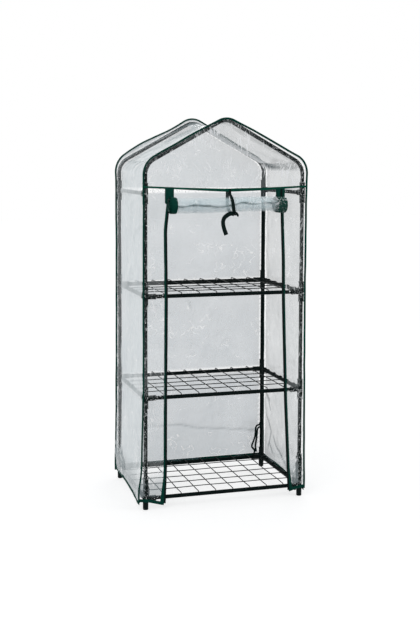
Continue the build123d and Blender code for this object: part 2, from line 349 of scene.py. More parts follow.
def rounded_line(corners, radii, step):
    """A line through flat corners, with an arc of its own radius at each inner one."""
    corners = [np.array(corner, float) for corner in corners]
    line = [corners[0]]
    for before, corner, after, radius in zip(corners, corners[1:], corners[2:], radii):
        incoming, outgoing = unit(corner - before), unit(after - corner)
        turn = math.acos(float(np.clip(incoming @ outgoing, -1, 1)))
        side = np.array([-incoming[1], incoming[0]])
        side = side if side @ outgoing > 0 else -side
        start = corner - incoming * radius * math.tan(turn / 2)
        centre = start + side * radius
        for angle in np.linspace(0, turn, max(3, round(radius * turn / step))):
            line.append(centre - side * radius * math.cos(angle) + incoming * radius * math.sin(angle))
    line.append(corners[-1])
    return np.array(line)


tube_paint = coated("tube_powder_coat", TUBE_GREEN, TUBE_DUST, 0.38, 700, 0.00004, 0.03)
levels = [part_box(f"{shelf}_rail_left")[0].z + tube_radius for shelf in ("bottom_shelf", "middle_shelf")]
levels += [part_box(f"{shelf}_rail_left")[0].z + tube_radius for shelf in ("upper_shelf", "top")]
socket_stop = post_low.z - levels[0]


def straight_tube(start, end):
    """A thin tube from one point to another, open down its bore."""
    start, end = np.array(start, float), np.array(end, float)
    way = unit(end - start)
    side = np.array([0.0, 0.0, 1.0]) if abs(way[2]) < 0.5 else np.array([0.0, 1.0, 0.0])
    across = np.cross(way, side)
    rim = circle(1.0, TUBE_SIDES)
    spokes = across * rim[:, :1] + side * rim[:, 1:]
    inner, outer = tube_radius - TUBE_WALL, tube_radius
    rims = ((start, inner), (start, outer), (end, outer), (end, inner), (start, inner))
    return skin(np.array([point + spokes * radius for point, radius in rims]), closed=True)


for end, y in {"front": front_y, "back": back_y}.items():
    for side, x in {"left": -post_x, "right": post_x}.items():
        lengths = []
        for low, high in zip(levels, levels[1:]):
            lengths.append(straight_tube((x, y, low + socket_stop), (x, y, high - socket_stop)))
        make_piece(f"post_tubes_{end}_{side}", lengths, tube_paint, [f"post_{end}_{side}"])

for shelf, z in zip(("bottom_shelf", "middle_shelf", "upper_shelf", "top"), levels):
    for side, x in {"left": -post_x, "right": post_x}.items():
        bar = straight_tube((x, front_y + socket_stop, z), (x, back_y - socket_stop, z))
        make_piece(f"{shelf}_tube_{side}", [bar], tube_paint, [f"{shelf}_rail_{side}"])
    if shelf == "top":
        continue
    for end, y in {"front": front_y, "back": back_y}.items():
        bar = straight_tube((-post_x + socket_stop, y, z), (post_x - socket_stop, y, z))
        make_piece(f"{shelf}_tube_{end}", [bar], tube_paint, [f"{shelf}_rail_{end}"])

arch_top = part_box("front_arch")[1].z - tube_radius
ridge_corner = arch_top + RIDGE_BEND * (1 / math.cos(ROOF_SLOPE) - 1)
eaves_corner = ridge_corner - post_x * math.tan(ROOF_SLOPE)


def arch_line(foot, step):
    """The middle line of an arch seen from the front, from foot height up, over the ridge and down."""
    corners = [(-post_x, foot), (-post_x, eaves_corner), (0, ridge_corner)]
    corners += [(post_x, eaves_corner), (post_x, foot)]
    return rounded_line(corners, [EAVES_BEND, RIDGE_BEND, EAVES_BEND], step)


for end, y in {"front": front_y, "back": back_y}.items():
    line = arch_line(levels[-1] + socket_stop, BEND_STEP)
    path = np.stack([line[:, 0], np.full(len(line), y), line[:, 1]], axis=1)
    bent = swept(path, circle(tube_radius, TUBE_SIDES), (0, 1, 0))
    make_piece(f"bent_tube_{end}", [bent], tube_paint, [f"{end}_arch"])

# Fittings: moulded plastic sockets, one at each post and level. Each mouth has a rim that grips the
# tube, the sleeve thickens a little towards the middle, and the foot ends in a rounded plug.
FITTING_SIDES = 36
MOUTH = 0.042
SLEEVE_RADIUS = 0.011
SLEEVE_SWELL = 0.0004
RIM_HEIGHT = 0.0009
RIM_WIDTH = 0.004
RIM_ROUND = 0.0007
FOOT_ROUND = 0.003
SEAT_GAP = 0.0001
PLASTIC_GREEN = (0.0035, 0.0080, 0.0078, 1)
PLASTIC_DUST = (0.0170, 0.0230, 0.0230, 1)


def turned(start, way, profile):
    """A closed body turned about an axis, from its profile of distance along the axis and radius."""
    start, way = np.array(start, float), np.array(way, float)
    across = np.array([1.0, 0.0, 0.0]) if abs(way[0]) < 0.5 else np.array([0.0, 0.0, 1.0])
    side = np.cross(across, way)
    rim = circle(1.0, FITTING_SIDES)
    spokes = across * rim[:, :1] + side * rim[:, 1:]
    rows = np.array([start + way * distance + spokes * radius for distance, radius in profile])
    return skin(rows, closed=True, capped=True)


def rimmed_mouth(sign):
    """The profile of a sleeve from its middle out to its rim, and back down its bore to the stop."""
    rim = SLEEVE_RADIUS + RIM_HEIGHT
    outline = [(MOUTH - RIM_WIDTH - RIM_ROUND, SLEEVE_RADIUS), (MOUTH - RIM_WIDTH, rim - RIM_ROUND * 0.3)]
    outline += [(MOUTH - RIM_WIDTH + RIM_ROUND, rim), (MOUTH - RIM_ROUND, rim)]
    outline += [(MOUTH - RIM_ROUND * 0.3, rim - RIM_ROUND * 0.3), (MOUTH, rim - RIM_ROUND)]
    outline += [(MOUTH, tube_radius + SEAT_GAP), (socket_stop, tube_radius + SEAT_GAP)]
    return [(sign * distance, radius) for distance, radius in outline]


def united(parts):
    """The parts of one fitting fused into a single body."""
    holders = []
    for points, faces, uv in parts:
        mesh = bpy.data.meshes.new("blank")
        mesh.from_pydata(points.tolist(), [], faces)
        mesh.uv_layers.new(name="metres").data.foreach_set("uv", uv.ravel())
        holders.append(bpy.data.objects.new("blank", mesh))
        bpy.context.scene.collection.objects.link(holders[-1])
    for holder in holders[1:]:
        fuse = holders[0].modifiers.new("fuse", "BOOLEAN")
        fuse.operation = "UNION"
        fuse.solver = "EXACT"
        fuse.object = holder
    fused = holders[0].evaluated_get(bpy.context.evaluated_depsgraph_get()).to_mesh()
    points = np.zeros(len(fused.vertices) * 3)
    uv = np.zeros(len(fused.loops) * 2)
    fused.vertices.foreach_get("co", points)
    fused.uv_layers["metres"].data.foreach_get("uv", uv)
    faces = [list(face.vertices) for face in fused.polygons]
    for holder in holders:
        mesh = holder.data
        bpy.data.objects.remove(holder)
        bpy.data.meshes.remove(mesh)
    return points.reshape(-1, 3), faces, uv.reshape(-1, 2)


plastic = coated("fitting_plastic", PLASTIC_GREEN, PLASTIC_DUST, 0.46, 1500, 0.00005, 0.06)
fitting_nodes = ["foot_fittings", "middle_shelf_fittings", "upper_shelf_fittings", "eaves_fittings"]
for node, z in zip(fitting_nodes, levels):
    bodies = []
    for y, inwards in {front_y: 1, back_y: -1}.items():
        for x in (-post_x, post_x):
            if node == "foot_fittings":
                plug = SLEEVE_RADIUS - FOOT_ROUND
                bevel = FOOT_ROUND * 0.3
                sole = [(-z, plug - FOOT_ROUND), (-z, plug), (bevel - z, SLEEVE_RADIUS - bevel)]
                sleeve = sole + [(-z + FOOT_ROUND, SLEEVE_RADIUS), (0, SLEEVE_RADIUS + SLEEVE_SWELL)]
            else:
                sleeve = rimmed_mouth(-1)[::-1] + [(0, SLEEVE_RADIUS + SLEEVE_SWELL)]
            parts = [turned((x, y, z), (0, 0, 1), sleeve + rimmed_mouth(1))]
            root = [(0, SLEEVE_RADIUS - SLEEVE_SWELL), (SLEEVE_RADIUS, SLEEVE_RADIUS - SLEEVE_SWELL / 2)]
            parts.append(turned((x, y, z), (0, inwards, 0), root + rimmed_mouth(1)))
            if node != "eaves_fittings":
                parts.append(turned((x, y, z), (-np.sign(x), 0, 0), root + rimmed_mouth(1)))
            bodies.append(united(parts))
    make_piece(f"moulded_{node}", bodies, plastic, [node])

# Wire shelves: cold drawn wires, welded where they cross and dipped in a dark coat. The long wires
# lie on the side tubes, the cross wires on top of them, and each end is hooked round its tube.
WIRE_RADIUS = 0.0019
WIRE_SIDES = 8
WELD_SINK = 0.0006
CROSS_WIRES = 8
LONG_WIRES = 5
HOOK_TURN = math.radians(105)
HOOK_GAP = 0.0004
HOOK_STEPS = 9
WIRE_STEP = 0.012
WIRE_WAVE = 0.0011
WIRE_DARK = (0.0035, 0.0060, 0.0058, 1)
WIRE_BARE = (0.0220, 0.0280, 0.0280, 1)


def hooked_wire(reach, height, seed):
    """A wire's side view, as along and up: a hook, a slightly wavy run, and the hook at the other end."""
    bend = tube_radius + WIRE_RADIUS + HOOK_GAP
    drop = height - bend
    hook = []
    for angle in np.linspace(HOOK_TURN, 0, HOOK_STEPS):
        hook.append((reach + bend * math.sin(angle), drop + bend * math.cos(angle)))
    run = np.arange(reach - WIRE_STEP, -reach, -WIRE_STEP)
    draw = np.random.default_rng(seed)
    waves = WIRE_WAVE * np.sin(run / 0.045 + draw.uniform(0, 6)) * draw.uniform(0.2, 0.7)
    waves += WIRE_WAVE * np.sin(run / 0.11 + draw.uniform(0, 6)) * draw.uniform(0.3, 0.9)
    calm = np.clip((reach - np.abs(run)) / 0.05, 0, 1)
    middle = np.stack([run, height + waves * calm * 0.35], axis=1)
    sway = np.concatenate([np.zeros(HOOK_STEPS), waves * calm, np.zeros(HOOK_STEPS)])
    line = np.concatenate([hook, middle, [(-along, up) for along, up in hook[::-1]]])
    return line, sway


def shelf_wires(z, seed):
    """All the wires of one shelf, sunk a little into each other where they cross."""
    parts = []
    section = circle(WIRE_RADIUS, WIRE_SIDES)
    long_height = tube_radius + WIRE_RADIUS
    cross_height = long_height + 2 * WIRE_RADIUS - WELD_SINK
    for step in range(1, LONG_WIRES + 1):
        y = front_y + (back_y - front_y) * step / (LONG_WIRES + 1)
        line, sway = hooked_wire(post_x, long_height, seed + step)
        path = np.stack([line[:, 0], y + sway, z + line[:, 1]], axis=1)
        parts.append(swept(path, section, (0, 1, 0)))
    for step in range(1, CROSS_WIRES + 1):
        x = -post_x + 2 * post_x * step / (CROSS_WIRES + 1)
        line, sway = hooked_wire((back_y - front_y) / 2, cross_height, seed + 20 + step)
        path = np.stack([x + sway, middle_y + line[:, 0], z + line[:, 1]], axis=1)
        parts.append(swept(path, section, (1, 0, 0)))
    return parts


wire_coat = coated("shelf_wire_coat", WIRE_DARK, WIRE_BARE, 0.40, 900, 0.00004, 0.05)
for number, shelf in enumerate(("bottom_shelf", "middle_shelf", "upper_shelf")):
    wires = shelf_wires(levels[number], 100 * number)
    make_piece(f"{shelf}_wires", wires, wire_coat, [f"{shelf}_grid"])

# Cover outline: the film lies over the tubes, and both ends of it are sewn into an edge tape. Its
# reach outside the tubes' middle line, in metres, is given along the outline, from the ridge down.
HEM_HEIGHT = 0.034
FILM_GRID = 0.0072
TAPE_WIDTH = 0.0085
FILM_GAP = 0.0009
TENT_SLOPE = 0.9
TIE_REACH = 0.0128
TIE_LOW, TIE_HIGH = 0.046, 0.200
SHEET_INSET = 0.002
NOISE_CELLS = 97
FRONT_REACH = {
    -1.73: 0.0290, -1.70: 0.0350, -1.67: 0.0310, -1.61: 0.0210, -1.56: 0.0190, -1.27: 0.0120, -0.60: 0.0105,
    -0.42: 0.0110, -0.30: 0.0120, -0.15: 0.0120, -0.06: 0.0090, 0.00: 0.0065, 0.05: 0.0080, 0.10: 0.0120,
    0.20: 0.0150, 0.30: 0.0170, 0.36: 0.0180, 0.42: 0.0140, 0.50: 0.0120, 0.89: 0.0110, 1.45: 0.0140,
    1.70: 0.0175,
}
BACK_REACH = {
    -1.70: 0.0180, -1.50: 0.0140, -1.00: 0.0110, -0.45: 0.0100, -0.36: 0.0150, -0.33: 0.0230,
    -0.25: 0.0270, -0.18: 0.0220, -0.10: 0.0155, -0.05: 0.0160, 0.00: 0.0200, 0.06: 0.0190,
    0.20: 0.0150, 0.42: 0.0130, 1.00: 0.0120, 1.70: 0.0150,
}


def middle_of(node, axis):
    """The middle of a node's box along an axis."""
    low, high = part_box(node)
    return (low[axis] + high[axis]) / 2


def soft_noise(u, v, seed):
    """Smooth random hills between -1 and 1, about one to a unit."""
    table = np.random.default_rng(seed).uniform(-1, 1, (NOISE_CELLS, NOISE_CELLS))
    low_u, low_v = np.floor(u).astype(int), np.floor(v).astype(int)
    part_u, part_v = u - low_u, v - low_v
    part_u = part_u**3 * (part_u * (part_u * 6 - 15) + 10)
    part_v = part_v**3 * (part_v * (part_v * 6 - 15) + 10)
    left, right = low_u % NOISE_CELLS, (low_u + 1) % NOISE_CELLS
    low, high = low_v % NOISE_CELLS, (low_v + 1) % NOISE_CELLS
    near = table[left, low] * (1 - part_u) + table[right, low] * part_u
    far = table[left, high] * (1 - part_u) + table[right, high] * part_u
    return near * (1 - part_v) + far * part_v


def creases(u, v, seed):
    """Crumpled film, between 0 and 1: flat cells between sharp ridges that wander."""
    warp = soft_noise(u * 0.7, v * 0.7, seed + 1)
    twist = soft_noise(u * 0.7 + 31, v * 0.7 + 17, seed + 2)
    return 1 - np.abs(soft_noise(u + 0.8 * warp, v + 0.8 * twist, seed)) ** 0.7


def crumple(u, v, seed):
    """How far creased film leaves its even shape, in metres: wide hills, folds and small creases."""
    wide = 0.0034 * soft_noise(u / 0.15, v / 0.15, seed)
    folds = 0.0040 * (creases(u / 0.085, v / 0.085, seed + 10) - 0.55)
    small = 0.0018 * (creases(u / 0.034, v / 0.034, seed + 20) - 0.55)
    patches = np.clip(0.6 + 0.9 * soft_noise(u / 0.2 + 5, v / 0.2 + 9, seed + 30), 0.1, 1.4)
    return wide + patches * (folds + small)


def eased(keys, places, spread=0.03):
    """Values read between the keys at the given places, with the corners rounded."""
    shifts = np.linspace(-spread, spread, 7)
    near = [np.interp(places + shift, list(keys), list(keys.values())) for shift in shifts]
    return np.mean(near, axis=0)


def from_rail(height):
    """How far a height is from the nearest level of rails."""
    return np.min([np.abs(height - level) for level in levels], axis=0)


def stand_off(beside, height):
    """How far film keeps from the posts' middle plane, by its distance beside a post and its height."""
    from_level = from_rail(height)
    on_socket = np.clip((MOUTH + 0.012 - from_level) / 0.012, 0, 1)
    keep = tube_radius + on_socket * (SLEEVE_RADIUS + RIM_HEIGHT - tube_radius) + FILM_GAP
    on_tie = np.clip((TIE_HIGH - height) / 0.012, 0, 1) * np.clip((height - TIE_LOW) / 0.012, 0, 1)
    keep = keep + on_tie * np.maximum(0, TIE_REACH + FILM_GAP - keep)
    on_post = keep - TENT_SLOPE * np.maximum(0, beside - tube_radius)
    hook = tube_radius + 2 * WIRE_RADIUS + HOOK_GAP + FILM_GAP
    on_rail = hook - TENT_SLOPE * np.maximum(0, from_level - tube_radius)
    return np.maximum(on_post, on_rail)


film_front = middle_of("gable_sheet", 1)
film_back = middle_of("back_sheet", 1)
outline = even_steps(arch_line(HEM_HEIGHT, 0.002), FILM_GRID)
outline_way = unit(np.gradient(outline, axis=0))
outline_out = np.stack([-outline_way[:, 1], outline_way[:, 0]], axis=1)
from_ridge = np.concatenate([[0], np.cumsum(np.linalg.norm(np.diff(outline, axis=0), axis=1))])
from_ridge -= from_ridge[-1] / 2
front_reach = eased(FRONT_REACH, from_ridge)
back_reach = eased(BACK_REACH, from_ridge)
front_edge = outline + outline_out * (front_reach - SHEET_INSET)[:, None]
back_edge = outline + outline_out * (back_reach - SHEET_INSET)[:, None]

# Film look: clear plasticised film, milkier where it is seen edge on or doubled. White curls, strokes and
# specks on its creases are painted highlights, and painted shade makes its fold flanks darker and greyer and
# its inner face darker.
# Film is drawn more opaque towards the hem, and more opaque and greyer near the ground.
HEM_OPACITY_GAIN = 1.25
TOUCH_REACH = 0.0125
INSIDE_HAZE = 0.80
GROUND_LOW, GROUND_HIGH = 0.105, 0.165
GROUND_GREY = (0.30, 0.36, 0.38, 1)
OUTSIDE = (0.66, 0.74, 0.77, 1)
# The inner face's colour is painted shade, far darker than the outside of the same film.
INSIDE_SHADE = (0.105, 0.150, 0.165, 1)
ROLL_PALE = (0.80, 0.95, 0.99, 1)
# Colour of painted shade on fold flanks, creases and gathered film.
FOLD_SHADE = (0.10, 0.15, 0.165, 1)

# The Curls, Specks and Strokes outputs are masks for painted highlights: white glint curls, specks and
# lighter strokes on the creased film.
film_crinkle, crinkle_in, crinkle_out = effect_group(
    "film_crinkle", {"Vector": None}, ["Height", "Curls", "Specks", "Clouds", "Strokes"]
)
bent_place = add_node(film_crinkle, "ShaderNodeTexNoise", (-700, 400), {"Scale": 26, "Detail": 2})
sway_amount = add_node(film_crinkle, "ShaderNodeVectorMath", (-500, 400), {"Scale": 0.020}, operation="SCALE")
swayed = add_node(film_crinkle, "ShaderNodeVectorMath", (-350, 300), operation="ADD")
curl_lines = add_node(film_crinkle, "ShaderNodeTexNoise", (-150, 400), {"Scale": 24, "Detail": 1.5})
off_zero = add_node(film_crinkle, "ShaderNodeMath", (50, 400), {1: 0.5}, operation="SUBTRACT")
line_distance = add_node(film_crinkle, "ShaderNodeMath", (200, 400), operation="ABSOLUTE")
thin_line = add_node(
    film_crinkle, "ShaderNodeMapRange", (350, 400),
    {"From Min": 0.0, "From Max": 0.020, "To Min": 1.0, "To Max": 0.0},
)
lit_patches = add_node(film_crinkle, "ShaderNodeTexNoise", (-150, 150), {"Scale": 13, "Detail": 3})
lit_here = add_node(film_crinkle, "ShaderNodeMapRange", (50, 150), {"From Min": 0.54, "From Max": 0.64})
curls = add_node(film_crinkle, "ShaderNodeMath", (550, 300), operation="MULTIPLY")
speck_field = add_node(film_crinkle, "ShaderNodeTexNoise", (-150, -100), {"Scale": 170, "Detail": 2})
speck_cut = add_node(film_crinkle, "ShaderNodeMapRange", (50, -100), {"From Min": 0.61, "From Max": 0.67})
crease_field = add_node(film_crinkle, "ShaderNodeTexNoise", (-150, -350), {"Scale": 22, "Detail": 1.5})
drawn_down = add_node(film_crinkle, "ShaderNodeMapping", (-150, -850), {"Scale": (130, 80, 18)})
stroke_field = add_node(film_crinkle, "ShaderNodeTexNoise", (50, -850), {"Scale": 1, "Detail": 1})
slow_bend = add_node(film_crinkle, "ShaderNodeTexNoise", (-700, -850), {"Scale": 6, "Detail": 1})
slow_amount = add_node(film_crinkle, "ShaderNodeVectorMath", (-500, -850), {"Scale": 0.11}, operation="SCALE")
leaning = add_node(film_crinkle, "ShaderNodeVectorMath", (-330, -850), operation="ADD")
stroke_patch = add_node(film_crinkle, "ShaderNodeTexNoise", (50, -1050), {"Scale": 9})
stroke_here = add_node(
    film_crinkle, "ShaderNodeMapRange", (250, -1050), {"From Min": 0.42, "From Max": 0.56, "To Min": 0.05}
)
strokes = add_node(film_crinkle, "ShaderNodeMath", (450, -900), operation="MULTIPLY")
stroke_cut = add_node(
    film_crinkle, "ShaderNodeMapRange", (250, -850),
    {"From Min": 0.56, "From Max": 0.63}, interpolation_type="SMOOTHSTEP",
)
cloud_field = add_node(film_crinkle, "ShaderNodeTexNoise", (-150, -600), {"Scale": 7, "Detail": 5})
wire_up(
    film_crinkle,
    (crinkle_in, "Vector", bent_place, "Vector"),
    (bent_place, "Color", sway_amount, 0),
    (crinkle_in, "Vector", swayed, 0),
    (sway_amount, "Vector", swayed, 1),
    (swayed, "Vector", curl_lines, "Vector"),
    (curl_lines, "Fac", off_zero, 0),
    (off_zero, 0, line_distance, 0),
    (line_distance, 0, thin_line, "Value"),
    (crinkle_in, "Vector", lit_patches, "Vector"),
    (lit_patches, "Fac", lit_here, "Value"),
    (thin_line, "Result", curls, 0),
    (lit_here, "Result", curls, 1),
    (curls, 0, crinkle_out, "Curls"),
    (swayed, "Vector", speck_field, "Vector"),
    (speck_field, "Fac", speck_cut, "Value"),
    (speck_cut, "Result", crinkle_out, "Specks"),
    (swayed, "Vector", crease_field, "Vector"),
    (crease_field, "Fac", crinkle_out, "Height"),
    (crinkle_in, "Vector", slow_bend, "Vector"),
    (slow_bend, "Color", slow_amount, 0),
    (crinkle_in, "Vector", leaning, 0),
    (slow_amount, "Vector", leaning, 1),
    (leaning, "Vector", drawn_down, "Vector"),
    (drawn_down, "Vector", stroke_field, "Vector"),
    (stroke_field, "Fac", stroke_cut, "Value"),
    (crinkle_in, "Vector", stroke_patch, "Vector"),
    (stroke_patch, "Fac", stroke_here, "Value"),
    (stroke_cut, "Result", strokes, 0),
    (stroke_here, "Result", strokes, 1),
    (strokes, 0, crinkle_out, "Strokes"),
    (crinkle_in, "Vector", cloud_field, "Vector"),
    (cloud_field, "Fac", crinkle_out, "Clouds"),
)


def mapped(tree, source, out, low, high):
    """A value between nought and one, stretched to run from low to high."""
    node = add_node(tree, "ShaderNodeMapRange", (0, 0), {"To Min": low, "To Max": high})
    tree.links.new(source.outputs[out], node.inputs["Value"])
    return node


def combined(tree, operation, first, second):
    """Two values joined by a sum, a product, or the larger or smaller of them."""
    node = add_node(tree, "ShaderNodeMath", operation=operation)
    node.use_clamp = True
    for number, part in enumerate((first, second)):
        if isinstance(part, float):
            node.inputs[number].default_value = part
        else:
            tree.links.new(part, node.inputs[number])
    return node.outputs[0]


def film_paint(name, haze, outside, inside, painted_shade_colour, curl_strength, stroke_strength, ground_opacity=0.0):
    """Clear film: its haze face on and edge on, its outside colour and painted shade colour inside, its white
    marks of painted highlight, and more opacity towards the hem.
    """
    paint, tree, shader = new_paint(name)
    place = add_node(tree, "ShaderNodeTexCoord", (-1400, 0))
    crinkle = add_node(tree, "ShaderNodeGroup", (-1200, 0), node_tree=film_crinkle)
    touching = add_node(tree, "ShaderNodeAttribute", (-1200, -300), attribute_name="touching")
    painted_shade = add_node(tree, "ShaderNodeAttribute", (-1200, -500), attribute_name="painted_shade")
    edge_on = add_node(tree, "ShaderNodeLayerWeight", (-1200, 300), {"Blend": 0.5})
    tree.links.new(place.outputs["Object"], crinkle.inputs["Vector"])
    steep = add_node(tree, "ShaderNodeMath", (-1000, 300), {1: 1.6}, operation="POWER")
    tree.links.new(edge_on.outputs["Facing"], steep.inputs[0])
    milk = mapped(tree, steep, 0, *haze)
    clouds = mapped(tree, crinkle, "Clouds", 0.80, 1.20)
    height = add_node(tree, "ShaderNodeSeparateXYZ", (-1200, 500))
    tree.links.new(place.outputs["Object"], height.inputs[0])
    lower = add_node(
        tree, "ShaderNodeMapRange", (-1000, 500),
        {"From Min": 0.0, "From Max": 1.3, "To Min": HEM_OPACITY_GAIN, "To Max": 1.0},
    )
    tree.links.new(height.outputs["Z"], lower.inputs["Value"])
    alpha = combined(tree, "MULTIPLY", milk.outputs[0], clouds.outputs[0])
    alpha = combined(tree, "MULTIPLY", alpha, lower.outputs[0])
    whiter_roof_zone = add_node(tree, "ShaderNodeAttribute", (-1200, -700), attribute_name="whiter_roof_zone")
    streaks = mapped(tree, crinkle, "Clouds", 0.70, 1.0)
    streaky = combined(tree, "MULTIPLY", whiter_roof_zone.outputs["Fac"], streaks.outputs[0])
    which_side = add_node(tree, "ShaderNodeNewGeometry", (-800, 400))
    denser = mapped(tree, which_side, "Backfacing", 1.0, INSIDE_HAZE)
    alpha = combined(tree, "MULTIPLY", alpha, denser.outputs[0])
    # Near the ground the film is more opaque and mixed towards GROUND_GREY.
    near_ground = add_node(
        tree, "ShaderNodeMapRange", (-1000, 700),
        {"From Min": GROUND_LOW, "From Max": GROUND_HIGH, "To Min": 1.0, "To Max": 0.0},
    )
    tree.links.new(height.outputs["Z"], near_ground.inputs["Value"])
    alpha = combined(tree, "ADD", alpha, combined(tree, "MULTIPLY", near_ground.outputs[0], ground_opacity))
    # Painted shade: steep fold flanks, creases and gathered film are made more opaque and darker towards the
    # shade colour.
    flank = mapped(tree, painted_shade, "Fac", 0.0, 0.38)
    alpha = combined(tree, "ADD", alpha, flank.outputs[0])
    alpha = combined(tree, "ADD", alpha, streaky)
    wetted = mapped(tree, touching, "Fac", 1.0, 0.03)
    alpha = combined(tree, "MULTIPLY", alpha, wetted.outputs[0])
    # Painted highlights: curls, strokes and specks over the tubes raise alpha and whiten the base colour.
    curl = combined(tree, "MULTIPLY", crinkle.outputs["Curls"], curl_strength)
    stroke = combined(tree, "MULTIPLY", crinkle.outputs["Strokes"], stroke_strength)
    stroke = combined(tree, "MULTIPLY", stroke, wetted.outputs[0])
    speck = combined(tree, "MULTIPLY", crinkle.outputs["Specks"], touching.outputs["Fac"])
    speck = combined(tree, "MULTIPLY", speck, 0.75)
    light = combined(tree, "MAXIMUM", curl, speck)
    light = combined(tree, "MAXIMUM", light, stroke)
    alpha = combined(tree, "MAXIMUM", alpha, light)
    tree.links.new(alpha, shader.inputs["Alpha"])
    grey = add_node(tree, "ShaderNodeMix", (-400, 200), {"B": painted_shade_colour}, data_type="RGBA")
    # The film's inner face takes its painted shade colour.
    sided = add_node(tree, "ShaderNodeMix", (-600, 300), {"A": outside, "B": inside}, data_type="RGBA")
    tree.links.new(which_side.outputs["Backfacing"], sided.inputs["Factor"])
    greyed = add_node(tree, "ShaderNodeMix", (-500, 400), {"B": GROUND_GREY}, data_type="RGBA")
    tree.links.new(sided.outputs["Result"], greyed.inputs["A"])
    if ground_opacity:
        tree.links.new(near_ground.outputs[0], greyed.inputs["Factor"])
    else:
        greyed.inputs["Factor"].default_value = 0.0
    tree.links.new(greyed.outputs["Result"], grey.inputs["A"])
    tree.links.new(painted_shade.outputs["Fac"], grey.inputs["Factor"])
    # The colour is mixed towards white for the painted highlights and the whiter roof zone.
    bright = add_node(tree, "ShaderNodeMix", (-200, 200), {"B": (0.93, 0.95, 0.97, 1)}, data_type="RGBA")
    tree.links.new(grey.outputs["Result"], bright.inputs["A"])
    lit = combined(tree, "MULTIPLY", light, 2.5)
    lit = combined(tree, "MAXIMUM", lit, streaky)
    tree.links.new(lit, bright.inputs["Factor"])
    tree.links.new(bright.outputs["Result"], shader.inputs["Base Color"])
    relief = add_node(tree, "ShaderNodeBump", (-300, -300), {"Strength": 0.8, "Distance": 0.0030})
    tree.links.new(crinkle.outputs["Height"], relief.inputs["Height"])
    tree.links.new(relief.outputs["Normal"], shader.inputs["Normal"])
    gloss = mapped(tree, crinkle, "Clouds", 0.07, 0.20)
    tree.links.new(gloss.outputs[0], shader.inputs["Roughness"])
    shader.inputs["Specular IOR Level"].default_value = 0.8
    return paint


side_film = film_paint("side_film", (0.13, 0.86), OUTSIDE, INSIDE_SHADE, FOLD_SHADE, 0.60, 0.12, 0.10)
# The back film's heavier haze and darker inside colour are painted shade on the cover's far side.
back_film = film_paint("back_film", (0.55, 0.76), OUTSIDE, (0.27, 0.36, 0.43, 1), FOLD_SHADE, 0.60, 0.03)
front_film = film_paint("front_film", (0.10, 0.45), (0.90, 0.97, 0.99, 1), INSIDE_SHADE, FOLD_SHADE, 0.60, 0.80, 0.48)
# The roll's dark colour here is the colour of its painted shade band.
roll_film = film_paint("roll_film", (0.05, 0.30), ROLL_PALE, ROLL_PALE, (0.02, 0.075, 0.085, 1), 0.80, 0.20)


def film_piece(name, rows, marks, paint, nodes):
    """One sheet of film from its grid of points, with its marks for contact and painted shade."""
    piece = make_piece(name, [skin(rows)], paint, nodes, crease=180)
    inner_point = Vector((0, middle_y, levels[2]))
    outwards = sum(face.normal.dot(face.center - inner_point) * face.area for face in piece.data.polygons)
    if outwards < 0:
        piece.data.flip_normals()
    for mark, values in marks.items():
        field = piece.data.attributes.new(mark, "FLOAT", "POINT")
        field.data.foreach_set("value", np.ascontiguousarray(values, dtype=np.float32).ravel())
    return piece


def film_marks(reach, keep, beside, grid=FILM_GRID):
    """Where film touches the frame, and painted shade on its steep fold flanks, from its reach and its least
    reach.
    """
    slope = np.hypot(*np.gradient(reach, grid))
    over_tube = np.clip((TOUCH_REACH - beside) / 0.003, 0, 1)
    return {
        "touching": over_tube * np.clip(1.5 - (reach - keep) / 0.008, 0, 1),
        "painted_shade": np.clip(slope / 0.50 - 0.35, 0, 1),
    }


def fold_lines(across, up, lines, width):
    """How near film is to its fold lines, between nought and one."""
    near = np.zeros(np.broadcast(across, up).shape)
    for line in lines:
        line = even_steps(line, 0.005)
        distance = np.hypot(across[..., None] - line[:, 0], up[..., None] - line[:, 1]).min(axis=-1)
        near = np.maximum(near, np.exp(-((distance / width) ** 2)))
    return near

# Cover: one continuous sheet of film from the left hem over the ridge to the right hem. It hangs on
# the tubes, sags a little between the arches, and is creased from having been folded.
ROOF_SAG = 0.021
RIGHT_ROOF_SAG = 0.034
PLEAT_REACH = 0.075
PLEAT_DEPTH = 0.0048
TAUT_CLEARNESS = 0.80
GATHER_SHADE = 0.90
FOLD_DEPTH = 0.0035
LEFT_FOLDS = [
    [(0.278, 0.173), (0.218, 0.157), (0.150, 0.139), (0.112, 0.114), (0.087, 0.085)],
    [(0.283, 0.136), (0.239, 0.120), (0.189, 0.111), (0.141, 0.093), (0.122, 0.076)],
    [(0.290, 0.110), (0.269, 0.085), (0.219, 0.112), (0.189, 0.088), (0.170, 0.071)],
    [(0.283, 0.300), (0.262, 0.250), (0.270, 0.205), (0.236, 0.172)],
]
RIGHT_FOLDS = [
    [
        (0.253, 0.342), (0.258, 0.300), (0.251, 0.250), (0.213, 0.217),
        (0.177, 0.184), (0.188, 0.151), (0.211, 0.104),
    ],
    [(0.239, 0.340), (0.209, 0.310), (0.194, 0.280)],
    [(0.147, 0.166), (0.119, 0.132), (0.055, 0.098), (-0.007, 0.065)],
    [(0.177, 0.184), (0.197, 0.128), (0.161, 0.086)],
]
SIDE_HEM = {
    -0.21: 0.026, -0.165: 0.028, -0.087: 0.034, 0.003: 0.042, 0.096: 0.047, 0.213: 0.044, 0.28: 0.049,
}
CORNER_FOLD = {0.06: 0.0, 0.087: 0.085, 0.112: 0.114, 0.15: 0.139, 0.218: 0.157, 0.278: 0.175}
FOLD_WIDTH = 0.0060
PLEAT_PITCH = 0.062
BELOW_EAVES = 0.45
depth_steps = round((film_back - film_front) / FILM_GRID)
cover_depth = np.linspace(film_front, film_back, depth_steps + 1)
share = (cover_depth - film_front) / (film_back - film_front)
on_roof = np.clip((0.40 - np.abs(from_ridge)) / 0.06, 0, 1)
